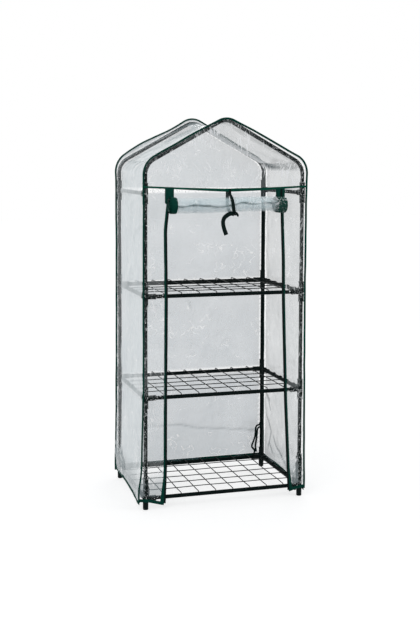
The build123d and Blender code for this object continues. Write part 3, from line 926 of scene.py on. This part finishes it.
sag = on_roof * np.interp(from_ridge, [-0.10, 0.10], [ROOF_SAG, RIGHT_ROOF_SAG])
cover_reach = np.outer(front_reach - SHEET_INSET, 1 - share) + np.outer(back_reach - SHEET_INSET, share)
cover_reach -= np.outer(sag, 1 - np.abs(2 * share - 1) ** 7)
edge_calm = np.clip(np.minimum(share, 1 - share) / 0.05, 0, 1)
folds = crumple(from_ridge[:, None] + 3, cover_depth[None, :] + 1, 11)
calm_roof = 1 - 0.35 * on_roof
from_back = film_back - cover_depth
back_strip = np.clip(1 - from_back / PLEAT_REACH, 0, 1) * np.clip(from_back / 0.012, 0, 1)
pleat_phase = outline[:, 1:] / PLEAT_PITCH + 9 * from_back[None, :] / PLEAT_PITCH
pleat_phase = pleat_phase + 1.6 * soft_noise(outline[:, 1:] / 0.12, cover_depth[None, :] / 0.05, 14)
low_left = np.clip((0.42 - outline[:, 1]) / 0.1, 0, 1) * (from_ridge < 0)
on_left, on_right = from_ridge < -BELOW_EAVES, from_ridge > BELOW_EAVES
pleat_size = PLEAT_DEPTH * on_left * (0.45 + 0.5 * low_left) + 0.0012 * on_right
cover_reach += pleat_size[:, None] * back_strip[None, :] * (np.sin(2 * math.pi * pleat_phase) + 0.6)
corner_top = np.interp(cover_depth, list(CORNER_FOLD), list(CORNER_FOLD.values()))[None]
drawn = fold_lines(cover_depth[None, :], outline[:, 1:], LEFT_FOLDS, FOLD_WIDTH) * on_left[:, None]
drawn += 0.8 * fold_lines(cover_depth[None, :], outline[:, 1:], RIGHT_FOLDS, FOLD_WIDTH) * on_right[:, None]
cover_reach += FOLD_DEPTH * drawn * edge_calm
cover_reach += (folds + 0.0010) * edge_calm[None, :] * calm_roof[:, None]
beside_post = np.minimum(np.abs(cover_depth - front_y), np.abs(cover_depth - back_y))
cover_height = np.where(np.abs(from_ridge) > 0.42, outline[:, 1], 9.0)
keep_off = stand_off(beside_post[None, :], cover_height[:, None])
cover_reach = np.maximum(cover_reach, keep_off)
side_hem = eased(SIDE_HEM, cover_depth, 0.02)
near_hem = np.clip(1 - (outline[:, 1] - HEM_HEIGHT) / 0.10, 0, 1)
drop = np.outer(near_hem, side_hem - HEM_HEIGHT)
cover_rows = np.zeros(cover_reach.shape + (3,))
cover_rows[..., 0] = outline[:, :1] + outline_out[:, :1] * cover_reach
cover_rows[..., 1] = cover_depth[None, :]
cover_rows[..., 2] = outline[:, 1:] + outline_out[:, 1:] * cover_reach + drop
cover_nodes = ["side_sheet_left", "side_sheet_right", "roof_sheet_left", "roof_sheet_right"]
cover_marks = film_marks(cover_reach, keep_off, beside_post[None, :])
before_back = from_back[None, :]
taut = np.interp(before_back, [0.028, 0.042, 0.092, 0.104], [0, 1, 1, 0]) * (from_ridge < -0.03)[:, None]
cover_marks["touching"] = np.maximum(cover_marks["touching"], TAUT_CLEARNESS * taut)
# Painted shade: the film gathered by the back, the low left corner and the drawn fold lines are darkened.
gathered_shade = np.interp(before_back, [0, 0.004, 0.030, 0.042], [0.8, 1, 1, 0]) * (from_ridge < -0.30)[:, None]
gathered_shade = GATHER_SHADE * gathered_shade * (0.75 + 0.25 * np.sin(2 * math.pi * pleat_phase))
low_corner = (from_ridge < 0)[:, None] * np.clip((corner_top - outline[:, 1:]) / 0.02, 0, 1)
cover_marks["painted_shade"] = np.max([cover_marks["painted_shade"], gathered_shade, 0.50 * low_corner, drawn], axis=0)
cover_marks["touching"] *= (1 - 0.8 * low_corner) * (1 - 0.9 * np.clip(drawn, 0, 1))
# A zone along the roof towards the back is drawn whiter and more opaque.
along_roof = np.interp(from_ridge, [0.0, 0.04, 0.34, 0.40], [0, 1, 1, 0])[:, None]
cover_marks["whiter_roof_zone"] = along_roof * np.interp(before_back, [0.015, 0.035, 0.13, 0.20], [0, 1, 1, 0])
film_piece("cover_film", cover_rows, cover_marks, side_film, cover_nodes)


PACKING_CREASE = 0.0030
PACKING_SHADE = 0.42


def panel(low_line, high_line, rows, columns):
    """Points in a plane between two lines, as x and z: rows from the first line to the second."""
    low_line, high_line = (even_steps(line, columns=columns) for line in (low_line, high_line))
    part = np.linspace(0, 1, rows + 1)[:, None, None]
    return low_line[None] * (1 - part) + high_line[None] * part


def panel_piece(name, flat_points, plane, outwards, seed, paint, nodes, packed_at=()):
    """An upright sheet of film in the front or the back of the cover, held off the posts and creased."""
    x, z = flat_points[..., 0], flat_points[..., 1]
    count, width = x.shape
    row_part, column_part = np.arange(count) / (count - 1), np.arange(width) / (width - 1)
    calm = np.outer(np.clip(np.minimum(row_part, 1 - row_part) / 0.03, 0, 1), np.ones(width))
    calm *= np.clip(np.minimum(column_part, 1 - column_part) / 0.06, 0, 1)[None, :]
    centre = front_y if outwards < 0 else back_y
    reach = abs(plane - centre) + calm * (crumple(x + 2, z + 1, seed) + 0.0015)
    packed = calm * fold_lines(x, z, packed_at, 0.0045)
    reach += PACKING_CREASE * packed
    from_tube = np.hypot(x[..., None] - outline[::3, 0], z[..., None] - outline[::3, 1]).min(axis=-1)
    keep = stand_off(from_tube, z)
    reach = np.maximum(reach, keep)
    points = np.stack([x, centre + outwards * reach, z], axis=-1)
    marks = film_marks(reach, keep, np.minimum(from_tube, from_rail(z)))
    # Packing creases get a line of painted shade.
    marks["painted_shade"] = np.maximum(marks["painted_shade"], PACKING_SHADE * packed)
    film_piece(name, points, marks, paint, nodes)


# Back: one sheet of film, a little milkier than the rest as painted shade on the cover's far side, sewn all
# round to the cover's back edge.
BACK_ROWS = 230
BACK_COLUMNS = 91
BACK_CREASES = [
    [
        (-0.335, 0.226), (-0.111, 0.217), (-0.044, 0.215), (0.024, 0.197),
        (0.103, 0.189), (0.282, 0.172), (0.335, 0.170),
    ],
]
half = len(outline) // 2
left_back, right_back = back_edge[: half + 1], back_edge[half:][::-1]
back_rows = np.stack([even_steps(side, columns=BACK_ROWS) for side in (left_back, right_back)], axis=1)
across = np.linspace(0, 1, BACK_COLUMNS)[None, :, None]
back_points = back_rows[:, :1] * (1 - across) + back_rows[:, 1:] * across
panel_piece(
    "back_film", back_points, film_back, 1, 41, back_film, ["back_sheet"],
    BACK_CREASES,
)

# Front: the gable above the sagging seam, and a flap on each side of the door, down to the hem.
SEAM_LINE = {
    -0.345: 1.304, -0.333: 1.303, -0.153: 1.295, -0.006: 1.289, 0.150: 1.293, 0.317: 1.302, 0.345: 1.303,
}
LEFT_ZIP = {
    1.300: -0.2375, 1.274: -0.239, 1.132: -0.2545, 0.852: -0.251, 0.448: -0.254, 0.161: -0.2545,
    0.022: -0.260,
}
RIGHT_ZIP = {
    1.300: 0.2385, 1.185: 0.240, 1.000: 0.247, 0.835: 0.249, 0.415: 0.263, 0.117: 0.278, 0.031: 0.283,
}
FLAP_TOP, FLAP_FOOT = 1.302, 0.036
FLAP_ROWS, FLAP_COLUMNS = 180, 16
GABLE_ROWS, GABLE_COLUMNS = 38, 95


def between(keys, places, spread=0.02):
    """Values at the given places along keys that may run either way, with the corners rounded."""
    ordered = dict(sorted(keys.items()))
    return eased(ordered, places, spread)


edge_top = front_edge[:, 1] > 1.30
edge_run = front_edge[edge_top]
gable_half = edge_run[:, 0].max()
gable_x = np.linspace(-gable_half, gable_half, GABLE_COLUMNS + 1)
order = np.argsort(edge_run[:, 0])
gable_top = np.interp(gable_x, edge_run[order, 0], edge_run[order, 1])
gable_bottom = between(SEAM_LINE, gable_x)
gable_low, gable_high = (np.stack([gable_x, z], axis=1) for z in (gable_bottom, gable_top))
gable_points = panel(gable_low, gable_high, GABLE_ROWS, GABLE_COLUMNS)
panel_piece(
    "gable_film", gable_points, film_front, -1, 51, front_film, ["gable_sheet"],
)

left_edge, right_edge = front_edge[: half + 1], front_edge[half:]
for side, edge, zip_line, hem in (
    ("left", left_edge, LEFT_ZIP, ((-0.361, 0.040), (-0.318, 0.034), (-0.262, 0.018))),
    ("right", right_edge, RIGHT_ZIP, ((0.350, 0.041), (0.310, 0.035), (0.283, 0.027))),
):
    heights = np.linspace(FLAP_TOP, FLAP_FOOT, FLAP_ROWS)
    run = edge[np.argsort(edge[:, 1])]
    outer = np.stack([np.interp(heights, run[:, 1], run[:, 0]), heights], axis=1)
    inner = np.stack([between(zip_line, heights), heights], axis=1)
    part = np.linspace(0, 1, FLAP_COLUMNS)[None, :, None]
    flap_points = outer[:, None] * (1 - part) + inner[:, None] * part
    top_line = between(SEAM_LINE, flap_points[..., 0])
    hem_line = np.interp(part[0, :, 0], [0, 0.45, 1], [point[1] for point in hem])
    down = ((FLAP_TOP - flap_points[..., 1]) / (FLAP_TOP - FLAP_FOOT))[..., None]
    flap_points[..., 1:] = top_line[..., None] * (1 - down) + hem_line[None, :, None] * down
    panel_piece(
        f"flap_film_{side}", flap_points, film_front, -1, 61 if side == "left" else 71, front_film,
        [f"front_flap_{side}"],
    )

# Door: a long sheet of film rolled up from its bottom edge. It hangs from the seam, goes down behind
# the roll, passes under it and winds up, about eight uneven turns.
DOOR_LEFT, DOOR_RIGHT = -0.246, 0.234
ROLL_PITCH = 0.0025
ROLL_STEPS = 44
HEAD_STEPS = 9
ROLL_TURNS = 8
ROLL_BULGE = 0.13
BAND_WIDTH = 0.036
roll_low, roll_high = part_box("door_roll")
roll_y, roll_z = (roll_low.y + roll_high.y) / 2, (roll_low.z + roll_high.z) / 2
roll_radius = (roll_high.z - roll_low.z) / 2
angles = np.linspace(0, ROLL_TURNS * 2 * math.pi, ROLL_TURNS * ROLL_STEPS + 1)


def roll_shape(x, lift=0.0):
    """The door's side view at each x, as y and z: down from the seam, then round and round."""
    x = np.asarray(x, float)
    uneven = 1 + 0.035 * soft_noise(angles[:, None] * 0.35, x[None, :] / 0.11, 81)
    uneven += 0.020 * soft_noise(angles[:, None] * 0.9 + 7, x[None, :] / 0.04, 82)
    right_bulge = ROLL_BULGE * np.sin(np.pi * np.clip((x - 0.172) / 0.074, 0, 1))
    spread = 1 + right_bulge + 0.03 * np.clip((-0.19 - x) / 0.05, 0, 1)
    wound_in = roll_radius - 0.001 - ROLL_PITCH * angles / (2 * math.pi)
    radius = wound_in[:, None] * uneven * spread[None, :] + lift
    middle_z = roll_z + 0.003 * np.sin(x / 0.09) - 0.004 * np.clip((x - 0.17) / 0.06, 0, 1)
    y = roll_y + radius * np.cos(angles)[:, None]
    z = middle_z[None, :] - radius * np.sin(angles)[:, None]
    top = between(SEAM_LINE, x) + 0.003
    head = np.linspace(0, 1, HEAD_STEPS + 1)[:-1, None]
    head_y = film_front - 0.0030 - lift + (y[:1] - film_front + 0.0030 + lift) * head**1.6
    head_z = top[None, :] * (1 - head) + z[:1] * head
    return np.concatenate([head_y, y]), np.concatenate([head_z, z])


def door_grid(x, lift=0.0):
    """The door's points over its columns, with the turns a little out of line with each other."""
    y, z = roll_shape(x, lift)
    slip = 0.0035 * np.sin(angles * 0.23) + 0.002 * np.sin(angles * 0.61)
    slip = np.concatenate([np.zeros(HEAD_STEPS), slip])
    points = np.zeros(y.shape + (3,))
    points[..., 0] = np.asarray(x)[None, :] + slip[:, None]
    points[..., 1], points[..., 2] = y, z
    return points


door_points = door_grid(np.linspace(DOOR_LEFT, DOOR_RIGHT, 64))
door_turn = np.concatenate([np.zeros(HEAD_STEPS), angles])[:, None] % (2 * math.pi)
# A band of painted shade runs along the front of the roll at mid height.
shade_band_place = math.pi + 0.30 * soft_noise(door_points[..., 0] / 0.05, door_turn * 0 + 3, 83)
shade_band_width = 0.13 + 0.09 * soft_noise(door_points[..., 0] / 0.03, door_turn * 0 + 9, 84)
roll_shade_band = np.exp(-(((door_turn - shade_band_place) / shade_band_width) ** 2))
over_band = np.clip((door_points[..., 0] - 0.193) / 0.006, 0, 1)
door_marks = {"touching": 0.9 * over_band, "painted_shade": np.clip(roll_shade_band * 0.95, 0, 1)}
film_piece(
    "door_film", door_points, door_marks, roll_film, ["door_head", "door_roll"],
)

# Tape: woven tape with a faint rib, folded over each edge of the film and sewn through near its
# rims. It binds the front and the back edge, the seam, the zip lines, the door's sides and the hem.
TAPE_GREEN = (0.0004, 0.0340, 0.0240, 1)
TAPE_WORN = (0.0014, 0.0560, 0.0400, 1)
# The seam tape is the same tape as the edge tape; its lighter greens are a painted lit copy where the seam
# catches the light.
SEAM_LIT_GREEN = (0.0008, 0.0480, 0.0300, 1)
SEAM_LIT_WORN = (0.0030, 0.0850, 0.0560, 1)
SEAM_PROUD = 0.0035
ZIP_PROUD = 0.0022
WEBBING_GREEN = (0.0008, 0.0060, 0.0055, 1)
WEBBING_WORN = (0.0030, 0.0130, 0.0115, 1)
TAPE_THICKNESS = 0.0018
CHAIN_WIDTH = 0.0085
ZIP_STEPS = 190
CHAIN_DARK = (0.0012, 0.0050, 0.0045, 1)
CHAIN_WORN = (0.0050, 0.0120, 0.0110, 1)
FIN_TILT = math.radians(20)

woven_tape, woven_in, woven_out = effect_group(
    "woven_tape", {"Vector": None, "Ribs": 900.0, "Edge": 0.0013, "Width": 0.0075},
    ["Height", "Worn", "Stitches"],
)
place_parts = add_node(woven_tape, "ShaderNodeSeparateXYZ", (-700, 0))
rib_phase = add_node(woven_tape, "ShaderNodeMath", (-500, 200), operation="MULTIPLY")
rib_wave = add_node(woven_tape, "ShaderNodeMath", (-350, 200), operation="SINE")
cross_phase = add_node(woven_tape, "ShaderNodeMath", (-500, 50), operation="MULTIPLY")
cross_wave = add_node(woven_tape, "ShaderNodeMath", (-350, 50), operation="SINE")
cloth = add_node(woven_tape, "ShaderNodeMath", (-150, 150), operation="MULTIPLY")
folded_over = add_node(woven_tape, "ShaderNodeMath", (-500, -150), operation="PINGPONG")
from_line = add_node(woven_tape, "ShaderNodeMath", (-350, -150), {2: 0.00035}, operation="COMPARE")
dash_phase = add_node(woven_tape, "ShaderNodeMath", (-500, -350), {1: 0.0019}, operation="PINGPONG")
dash = add_node(woven_tape, "ShaderNodeMath", (-350, -350), {1: 0.0013}, operation="LESS_THAN")
stitch = add_node(woven_tape, "ShaderNodeMath", (-150, -250), operation="MULTIPLY")
raised = add_node(woven_tape, "ShaderNodeMath", (50, 50), operation="ADD")
rub_field = add_node(woven_tape, "ShaderNodeTexNoise", (-500, -550), {"Scale": 130, "Detail": 4})
rub_cut = add_node(woven_tape, "ShaderNodeMapRange", (-300, -550), {"From Min": 0.42, "From Max": 0.72})
wire_up(
    woven_tape,
    (woven_in, "Vector", place_parts, 0),
    (place_parts, "Y", rib_phase, 0),
    (woven_in, "Ribs", rib_phase, 1),
    (rib_phase, 0, rib_wave, 0),
    (place_parts, "X", cross_phase, 0),
    (woven_in, "Ribs", cross_phase, 1),
    (cross_phase, 0, cross_wave, 0),
    (rib_wave, 0, cloth, 0),
    (cross_wave, 0, cloth, 1),
    (place_parts, "X", folded_over, 0),
    (woven_in, "Width", folded_over, 1),
    (folded_over, 0, from_line, 0),
    (woven_in, "Edge", from_line, 1),
    (place_parts, "Y", dash_phase, 0),
    (dash_phase, 0, dash, 0),
    (from_line, 0, stitch, 0),
    (dash, 0, stitch, 1),
    (cloth, 0, raised, 0),
    (stitch, 0, raised, 1),
    (raised, 0, woven_out, "Height"),
    (stitch, 0, woven_out, "Stitches"),
    (woven_in, "Vector", rub_field, "Vector"),
    (rub_field, "Fac", rub_cut, "Value"),
    (rub_cut, "Result", woven_out, "Worn"),
)


def tape_paint(name, colour, worn_colour, width):
    """Woven tape of one width: ribbed, sewn along its rims, and paler where it has been rubbed."""
    paint, tree, shader = new_paint(name)
    place = add_node(tree, "ShaderNodeUVMap", (-1200, 0), uv_map="metres")
    weave = add_node(
        tree, "ShaderNodeGroup", (-1000, 0),
        {"Ribs": 2 * math.pi / 0.0009, "Width": width}, node_tree=woven_tape,
    )
    blend = add_node(tree, "ShaderNodeMix", (-600, 200), {"A": colour, "B": worn_colour}, data_type="RGBA")
    sewn = add_node(tree, "ShaderNodeMix", (-400, 200), {"B": worn_colour}, data_type="RGBA")
    relief = add_node(tree, "ShaderNodeBump", (-400, -300), {"Strength": 0.5, "Distance": 0.00025})
    rough = mapped(tree, weave, "Worn", 0.70, 0.88)
    shader.inputs["Specular IOR Level"].default_value = 0.08
    wire_up(
        tree,
        (place, "UV", weave, "Vector"),
        (weave, "Worn", blend, "Factor"),
        (blend, "Result", sewn, "A"),
        (weave, "Stitches", sewn, "Factor"),
        (sewn, "Result", shader, "Base Color"),
        (weave, "Height", relief, "Height"),
        (relief, "Normal", shader, "Normal"),
        (rough, "Result", shader, "Roughness"),
    )
    return paint


def flat_oval(width, thickness, sides=14):
    """A flat section with rounded rims."""
    turn = circle(1.0, sides)
    return np.sign(turn) * np.abs(turn) ** np.array([0.7, 0.6]) * np.array([width, thickness]) / 2


edge_paint = tape_paint("edge_tape_weave", TAPE_GREEN, TAPE_WORN, TAPE_WIDTH)
# The seam's tape paint is a painted lit copy of the edge tape.
seam_lit_paint = tape_paint("seam_tape_lit_weave", SEAM_LIT_GREEN, SEAM_LIT_WORN, TAPE_WIDTH)
hem_paint = tape_paint("hem_tape_weave", TAPE_GREEN, TAPE_WORN, 0.010)
band_paint = tape_paint("door_band_weave", TAPE_GREEN, TAPE_WORN, BAND_WIDTH)
webbing_paint = tape_paint("tie_webbing_weave", WEBBING_GREEN, WEBBING_WORN, 0.011)
chain_paint = tape_paint("zip_chain_teeth", CHAIN_DARK, CHAIN_WORN, 0.006)

for end, plane, outwards, edge_reach in (
    ("front", film_front, -1, front_reach),
    ("back", film_back, 1, back_reach),
):
    wander = 0.0007 * soft_noise(from_ridge / 0.06, from_ridge * 0 + outwards + 3, 91)
    middle = outline + outline_out * (edge_reach + wander)[:, None]
    path = np.stack([middle[:, 0], np.full(len(middle), plane + outwards * 0.0018), middle[:, 1]], axis=1)
    tilted = outline_out * math.cos(FIN_TILT)
    aside = np.full(len(middle), outwards * math.sin(FIN_TILT))
    fin = np.stack([tilted[:, 0], aside, tilted[:, 1]], axis=1)
    way = unit(np.gradient(path, axis=0))
    bar = swept(path, flat_oval(TAPE_WIDTH, TAPE_THICKNESS), np.cross(fin, way))
    make_piece(f"edge_binding_{end}", [bar], edge_paint, [f"{end}_edge_tape"])

seam_x = np.linspace(-0.345, 0.343, 110)
seam_z = between(SEAM_LINE, seam_x)
seam_path = np.stack([seam_x, np.full(len(seam_x), film_front - SEAM_PROUD), seam_z - 0.001], axis=1)
seam_wide = 0.90 + 0.65 * np.clip(1 - np.abs(seam_x - 0.04) / 0.26, 0, 1)
seam_bar = swept(seam_path, flat_oval(TAPE_WIDTH, TAPE_THICKNESS), (0, -1, 0), seam_wide)
make_piece("seam_binding", [seam_bar], seam_lit_paint, ["seam_tape"])

zip_bars, chains = [], []
for zip_line, foot, side, spread, tape in ((LEFT_ZIP, 0.024, -1, 1.1, 0.95), (RIGHT_ZIP, 0.032, 1, 0.9, 1.0)):
    zip_z = np.linspace(max(zip_line), foot, ZIP_STEPS)
    flare = np.interp(zip_z, [0.03, 0.07, 0.13], [1.0, 0.6, 0.0])
    zip_x = between(zip_line, zip_z) + side * (0.0030 + 0.0042 * spread * flare)
    zip_path = np.stack([zip_x, np.full(len(zip_z), film_front - ZIP_PROUD), zip_z], axis=1)
    zip_bars.append(swept(zip_path, flat_oval(TAPE_WIDTH, TAPE_THICKNESS), (0, -1, 0), tape + spread * flare))
    chain_x = between(zip_line, zip_z) - side * 0.0034
    chain_path = np.stack([chain_x, np.full(len(zip_z), film_front - 0.0030), zip_z], axis=1)
    chains.append(swept(chain_path, flat_oval(CHAIN_WIDTH * tape**2, 0.0026), (0, -1, 0)))
make_piece("zip_bindings", zip_bars, edge_paint, ["zip_tapes"])
make_piece("zip_chains", chains, chain_paint, ["zip_tapes"])

LEFT_TAB, RIGHT_TAB = (-0.257, -0.220), (0.211, 0.250)
LEFT_BAND, RIGHT_BAND = (-0.247, -0.225), (0.197, 0.235)
bands = []
head_rows = (np.arange(len(door_points)) < HEAD_STEPS)[:, None]
for tab, rolled, lift in ((LEFT_TAB, LEFT_BAND, 0.0007), (RIGHT_TAB, RIGHT_BAND, -0.0007)):
    strip = door_grid(np.linspace(*rolled, 8), lift)
    wide = np.linspace(*tab, 8)[None, :]
    strip[..., 0] = np.where(head_rows, wide, strip[..., 0])
    strip[..., 1] -= 0.0012 * head_rows
    bands.append(skin(strip))
make_piece("door_side_bands", bands, band_paint, ["door_edge_tapes"], crease=80)

hem_bars = []
HEM_WIDTH = 0.013
HEM_PROUD = 0.0016
BACK_HEM_RISE = 0.019
FRONT_HEMS = [
    [(-0.362, 0.044), (-0.318, 0.038), (-0.260, 0.022)],
    [(0.350, 0.045), (0.310, 0.039), (0.281, 0.031)],
]
side_section = flat_oval(HEM_WIDTH, 0.0016)
for row, outwards in ((0, -1), (-1, 1)):
    edge = cover_rows[row].copy()
    edge[:, 0] += outwards * 0.0006
    edge[:, 2] += HEM_WIDTH / 2 - 0.002
    hem_bars.append(swept(edge, side_section, (outwards, 0, 0)))
back_hem = np.full((BACK_COLUMNS, 3), film_back + HEM_PROUD)
back_hem[:, 0] = back_points[0, :, 0]
back_hem[:, 2] = back_points[0, :, 1] + BACK_HEM_RISE
hem_bars.append(swept(back_hem, flat_oval(0.014, 0.0016), (0, 1, 0)))
for points in FRONT_HEMS:
    hem = even_steps(points, FILM_GRID)
    path = np.stack([hem[:, 0], np.full(len(hem), film_front - ZIP_PROUD), hem[:, 1]], axis=1)
    hem_bars.append(swept(path, side_section, (0, -1, 0)))
make_piece("hem_binding", hem_bars, hem_paint, ["hem_tape"])

# Ties: flat woven webbing, sewn to the cover. One holds the rolled door, knotted under the roll with
# two loose tails, and one at the foot of each post is wound round it and knotted.
STRAP_THICKNESS = 0.0013
WRAP_PITCH = 0.0145
WRAP_WIDTH = 0.0135
STRAND_WIDTH = 0.0085
ROLL_STRAP_WIDTH = 0.0140


def curved(points, step=0.003):
    """A smooth line through a few points, at even steps."""
    points = np.asarray(points, float)
    ends = np.concatenate([2 * points[:1] - points[1:2], points, 2 * points[-1:] - points[-2:-1]])
    line = []
    for before, start, end, after in zip(ends, ends[1:], ends[2:], ends[3:]):
        part = np.linspace(0, 1, 24, endpoint=False)[:, None]
        line.append(
            0.5 * (2 * start + (end - before) * part + (2 * before - 5 * start + 4 * end - after) * part**2
                   + (3 * start - before - 3 * end + after) * part**3)
        )
    line.append(points[-1:])
    return even_steps(np.concatenate(line), step)


def strap(points, width, facing, twist=0.0):
    """Webbing along a smooth line. Its face points along facing and turns by twist on the way."""
    path = curved(points)
    facing = np.broadcast_to(np.asarray(facing, float), path.shape)
    way = unit(np.gradient(path, axis=0))
    across = unit(np.cross(way, facing))
    face = np.cross(across, way)
    turn = (np.linspace(0, 1, len(path)) * twist)[:, None]
    return swept(path, flat_oval(width, STRAP_THICKNESS), face * np.cos(turn) + across * np.sin(turn))


def wound(x, y, low, high, radius, turns):
    """Points of a strap wound round an upright post."""
    angle = np.linspace(0, turns * 2 * math.pi, round(turns * 10) + 1)
    height = np.linspace(low, high, len(angle))
    return np.stack([x + radius * np.cos(angle), y + radius * np.sin(angle), height], axis=1)


strap_way = 0.0355
front_strand = [(0.013, film_front - 0.0062, 1.291), (0.007, film_front - 0.0200, 1.2745)]
for angle, x in ((60, 0.003), (25, 0.0035), (0, 0.005), (-30, 0.009), (-55, 0.014), (-75, 0.0165)):
    bend = math.radians(angle)
    front_strand.append((x, roll_y - strap_way * math.cos(bend), roll_z + strap_way * math.sin(bend)))
back_strand = [(0.004, film_front - 0.0008, 1.290), (0.004, roll_y + strap_way + 0.0004, 1.262)]
for angle, x in ((0, 0.004), (-35, 0.007), (-60, 0.011), (-85, 0.0155)):
    bend = math.radians(angle)
    back_strand.append((x, roll_y + strap_way * math.cos(bend), roll_z + strap_way * math.sin(bend)))


def away_from_roll(points):
    """Which way a strap lying on the roll faces, at each of its steps."""
    path = curved(points)
    return unit(path - np.stack([path[:, 0], np.full(len(path), roll_y), np.full(len(path), roll_z)], axis=1))


knot_y, knot_z = front_strand[-1][1] - 0.004, front_strand[-1][2] - 0.0035
knot_angle = np.linspace(0, 2.6 * math.pi, 14)
knot = [
    (
        0.0165 + 0.0058 * math.cos(a) + 0.001 * a,
        knot_y + 0.0042 * math.sin(a),
        knot_z + 0.0030 * math.cos(a + 0.6),
    )
    for a in knot_angle
]
left_tail = [(0.0165, knot_y, knot_z), (0.0030, knot_y - 0.004, 1.1968), (-0.0119, knot_y - 0.005, 1.1915)]
left_tail += [(-0.0244, knot_y - 0.003, 1.1805), (-0.0294, knot_y, 1.1650), (-0.0260, knot_y + 0.002, 1.1420)]
left_tail += [(-0.0155, knot_y + 0.001, 1.1115)]
right_tail = [(0.0165, knot_y, knot_z), (0.0250, knot_y - 0.003, 1.1965), (0.0345, knot_y - 0.002, 1.1865)]
tie_parts = [
    strap(front_strand, ROLL_STRAP_WIDTH, away_from_roll(front_strand)),
    strap(back_strand, ROLL_STRAP_WIDTH, away_from_roll(back_strand)),
    strap(knot, 0.0090, (0, 0, 1)),
    strap(left_tail, 0.0175, (0.25, -1, 0.15), 0.3),
    strap(right_tail, 0.0160, (0.2, -1, 0.4), -0.4),
]
make_piece("door_tie_strap", tie_parts, webbing_paint, ["door_tie"], crease=60)

tie_y = back_y - tube_radius - 0.0045
outer_strand = [(0.3325, tie_y + 0.002, 0.1970), (0.3200, tie_y, 0.1975), (0.3060, tie_y - 0.003, 0.1955)]
outer_strand += [(0.2993, tie_y - 0.003, 0.1835), (0.2978, tie_y - 0.001, 0.1505), (0.2919, tie_y, 0.1275)]
outer_strand += [(0.2822, tie_y, 0.0990), (0.2943, tie_y - 0.002, 0.0805), (0.2924, tie_y, 0.0650)]
outer_strand += [(0.2843, tie_y, 0.0559)]
inner_strand = [(0.3300, tie_y + 0.001, 0.1880), (0.3180, tie_y - 0.004, 0.1885)]
inner_strand += [(0.3075, tie_y - 0.005, 0.1780), (0.3040, tie_y - 0.003, 0.1383)]
inner_strand += [(0.2985, tie_y - 0.003, 0.1000), (0.3020, tie_y - 0.004, 0.0740)]
around = wound(post_x, back_y, 0.192, 0.201, tube_radius + 0.0022, 1.6)
corner_parts = [
    strap(outer_strand, STRAND_WIDTH, (0, -1, 0)),
    strap(inner_strand, STRAND_WIDTH, (0, -1, 0), 0.5),
    strap(around, STRAND_WIDTH, (curved(around) - [post_x, back_y, 0]) * [1, 1, 0]),
]
for x, y, low, high, bulge in (
    (post_x, front_y, 0.070, 0.178, 0.0050),
    (-post_x, front_y, 0.090, 0.130, 0.0020),
    (-post_x, back_y, 0.090, 0.135, 0.0020),
):
    loops = wound(x, y, low, high, tube_radius + 0.0018, (high - low) / WRAP_PITCH)
    part = np.linspace(0, 1, len(loops))
    slack = bulge * (np.sin(np.pi * part) ** 0.6 + 0.25 * np.sin(np.arange(len(loops)) * 0.9))[:, None]
    aside = unit(loops[:, :2] - [x, y]) * [1.0, 0.25]
    aside[:, 0] *= np.where(aside[:, 0] * x > 0, 0.35, 1.0)
    loops[:, :2] += slack * aside
    corner_parts.append(strap(loops, WRAP_WIDTH, (curved(loops) - [x, y, 0]) * [1, 1, 0]))
    inside = -math.copysign(1, x)
    front = tube_radius + 0.0030 if y < 0 else -tube_radius - 0.0030
    tail = [(x + inside * 0.006, y + front * 0.9, low + 0.012), (x + inside * 0.014, y + front, low - 0.006)]
    tail.append((x + inside * 0.0155, y + front * 1.1, low - 0.030))
    tail.append((x + inside * 0.012, y + front * 1.2, low - 0.050))
    corner_parts.append(strap(tail, 0.0090, (inside * 0.4, -1 if y > 0 else 1, 0), 0.7))
make_piece("corner_tie_straps", corner_parts, webbing_paint, ["corner_ties"], crease=60)
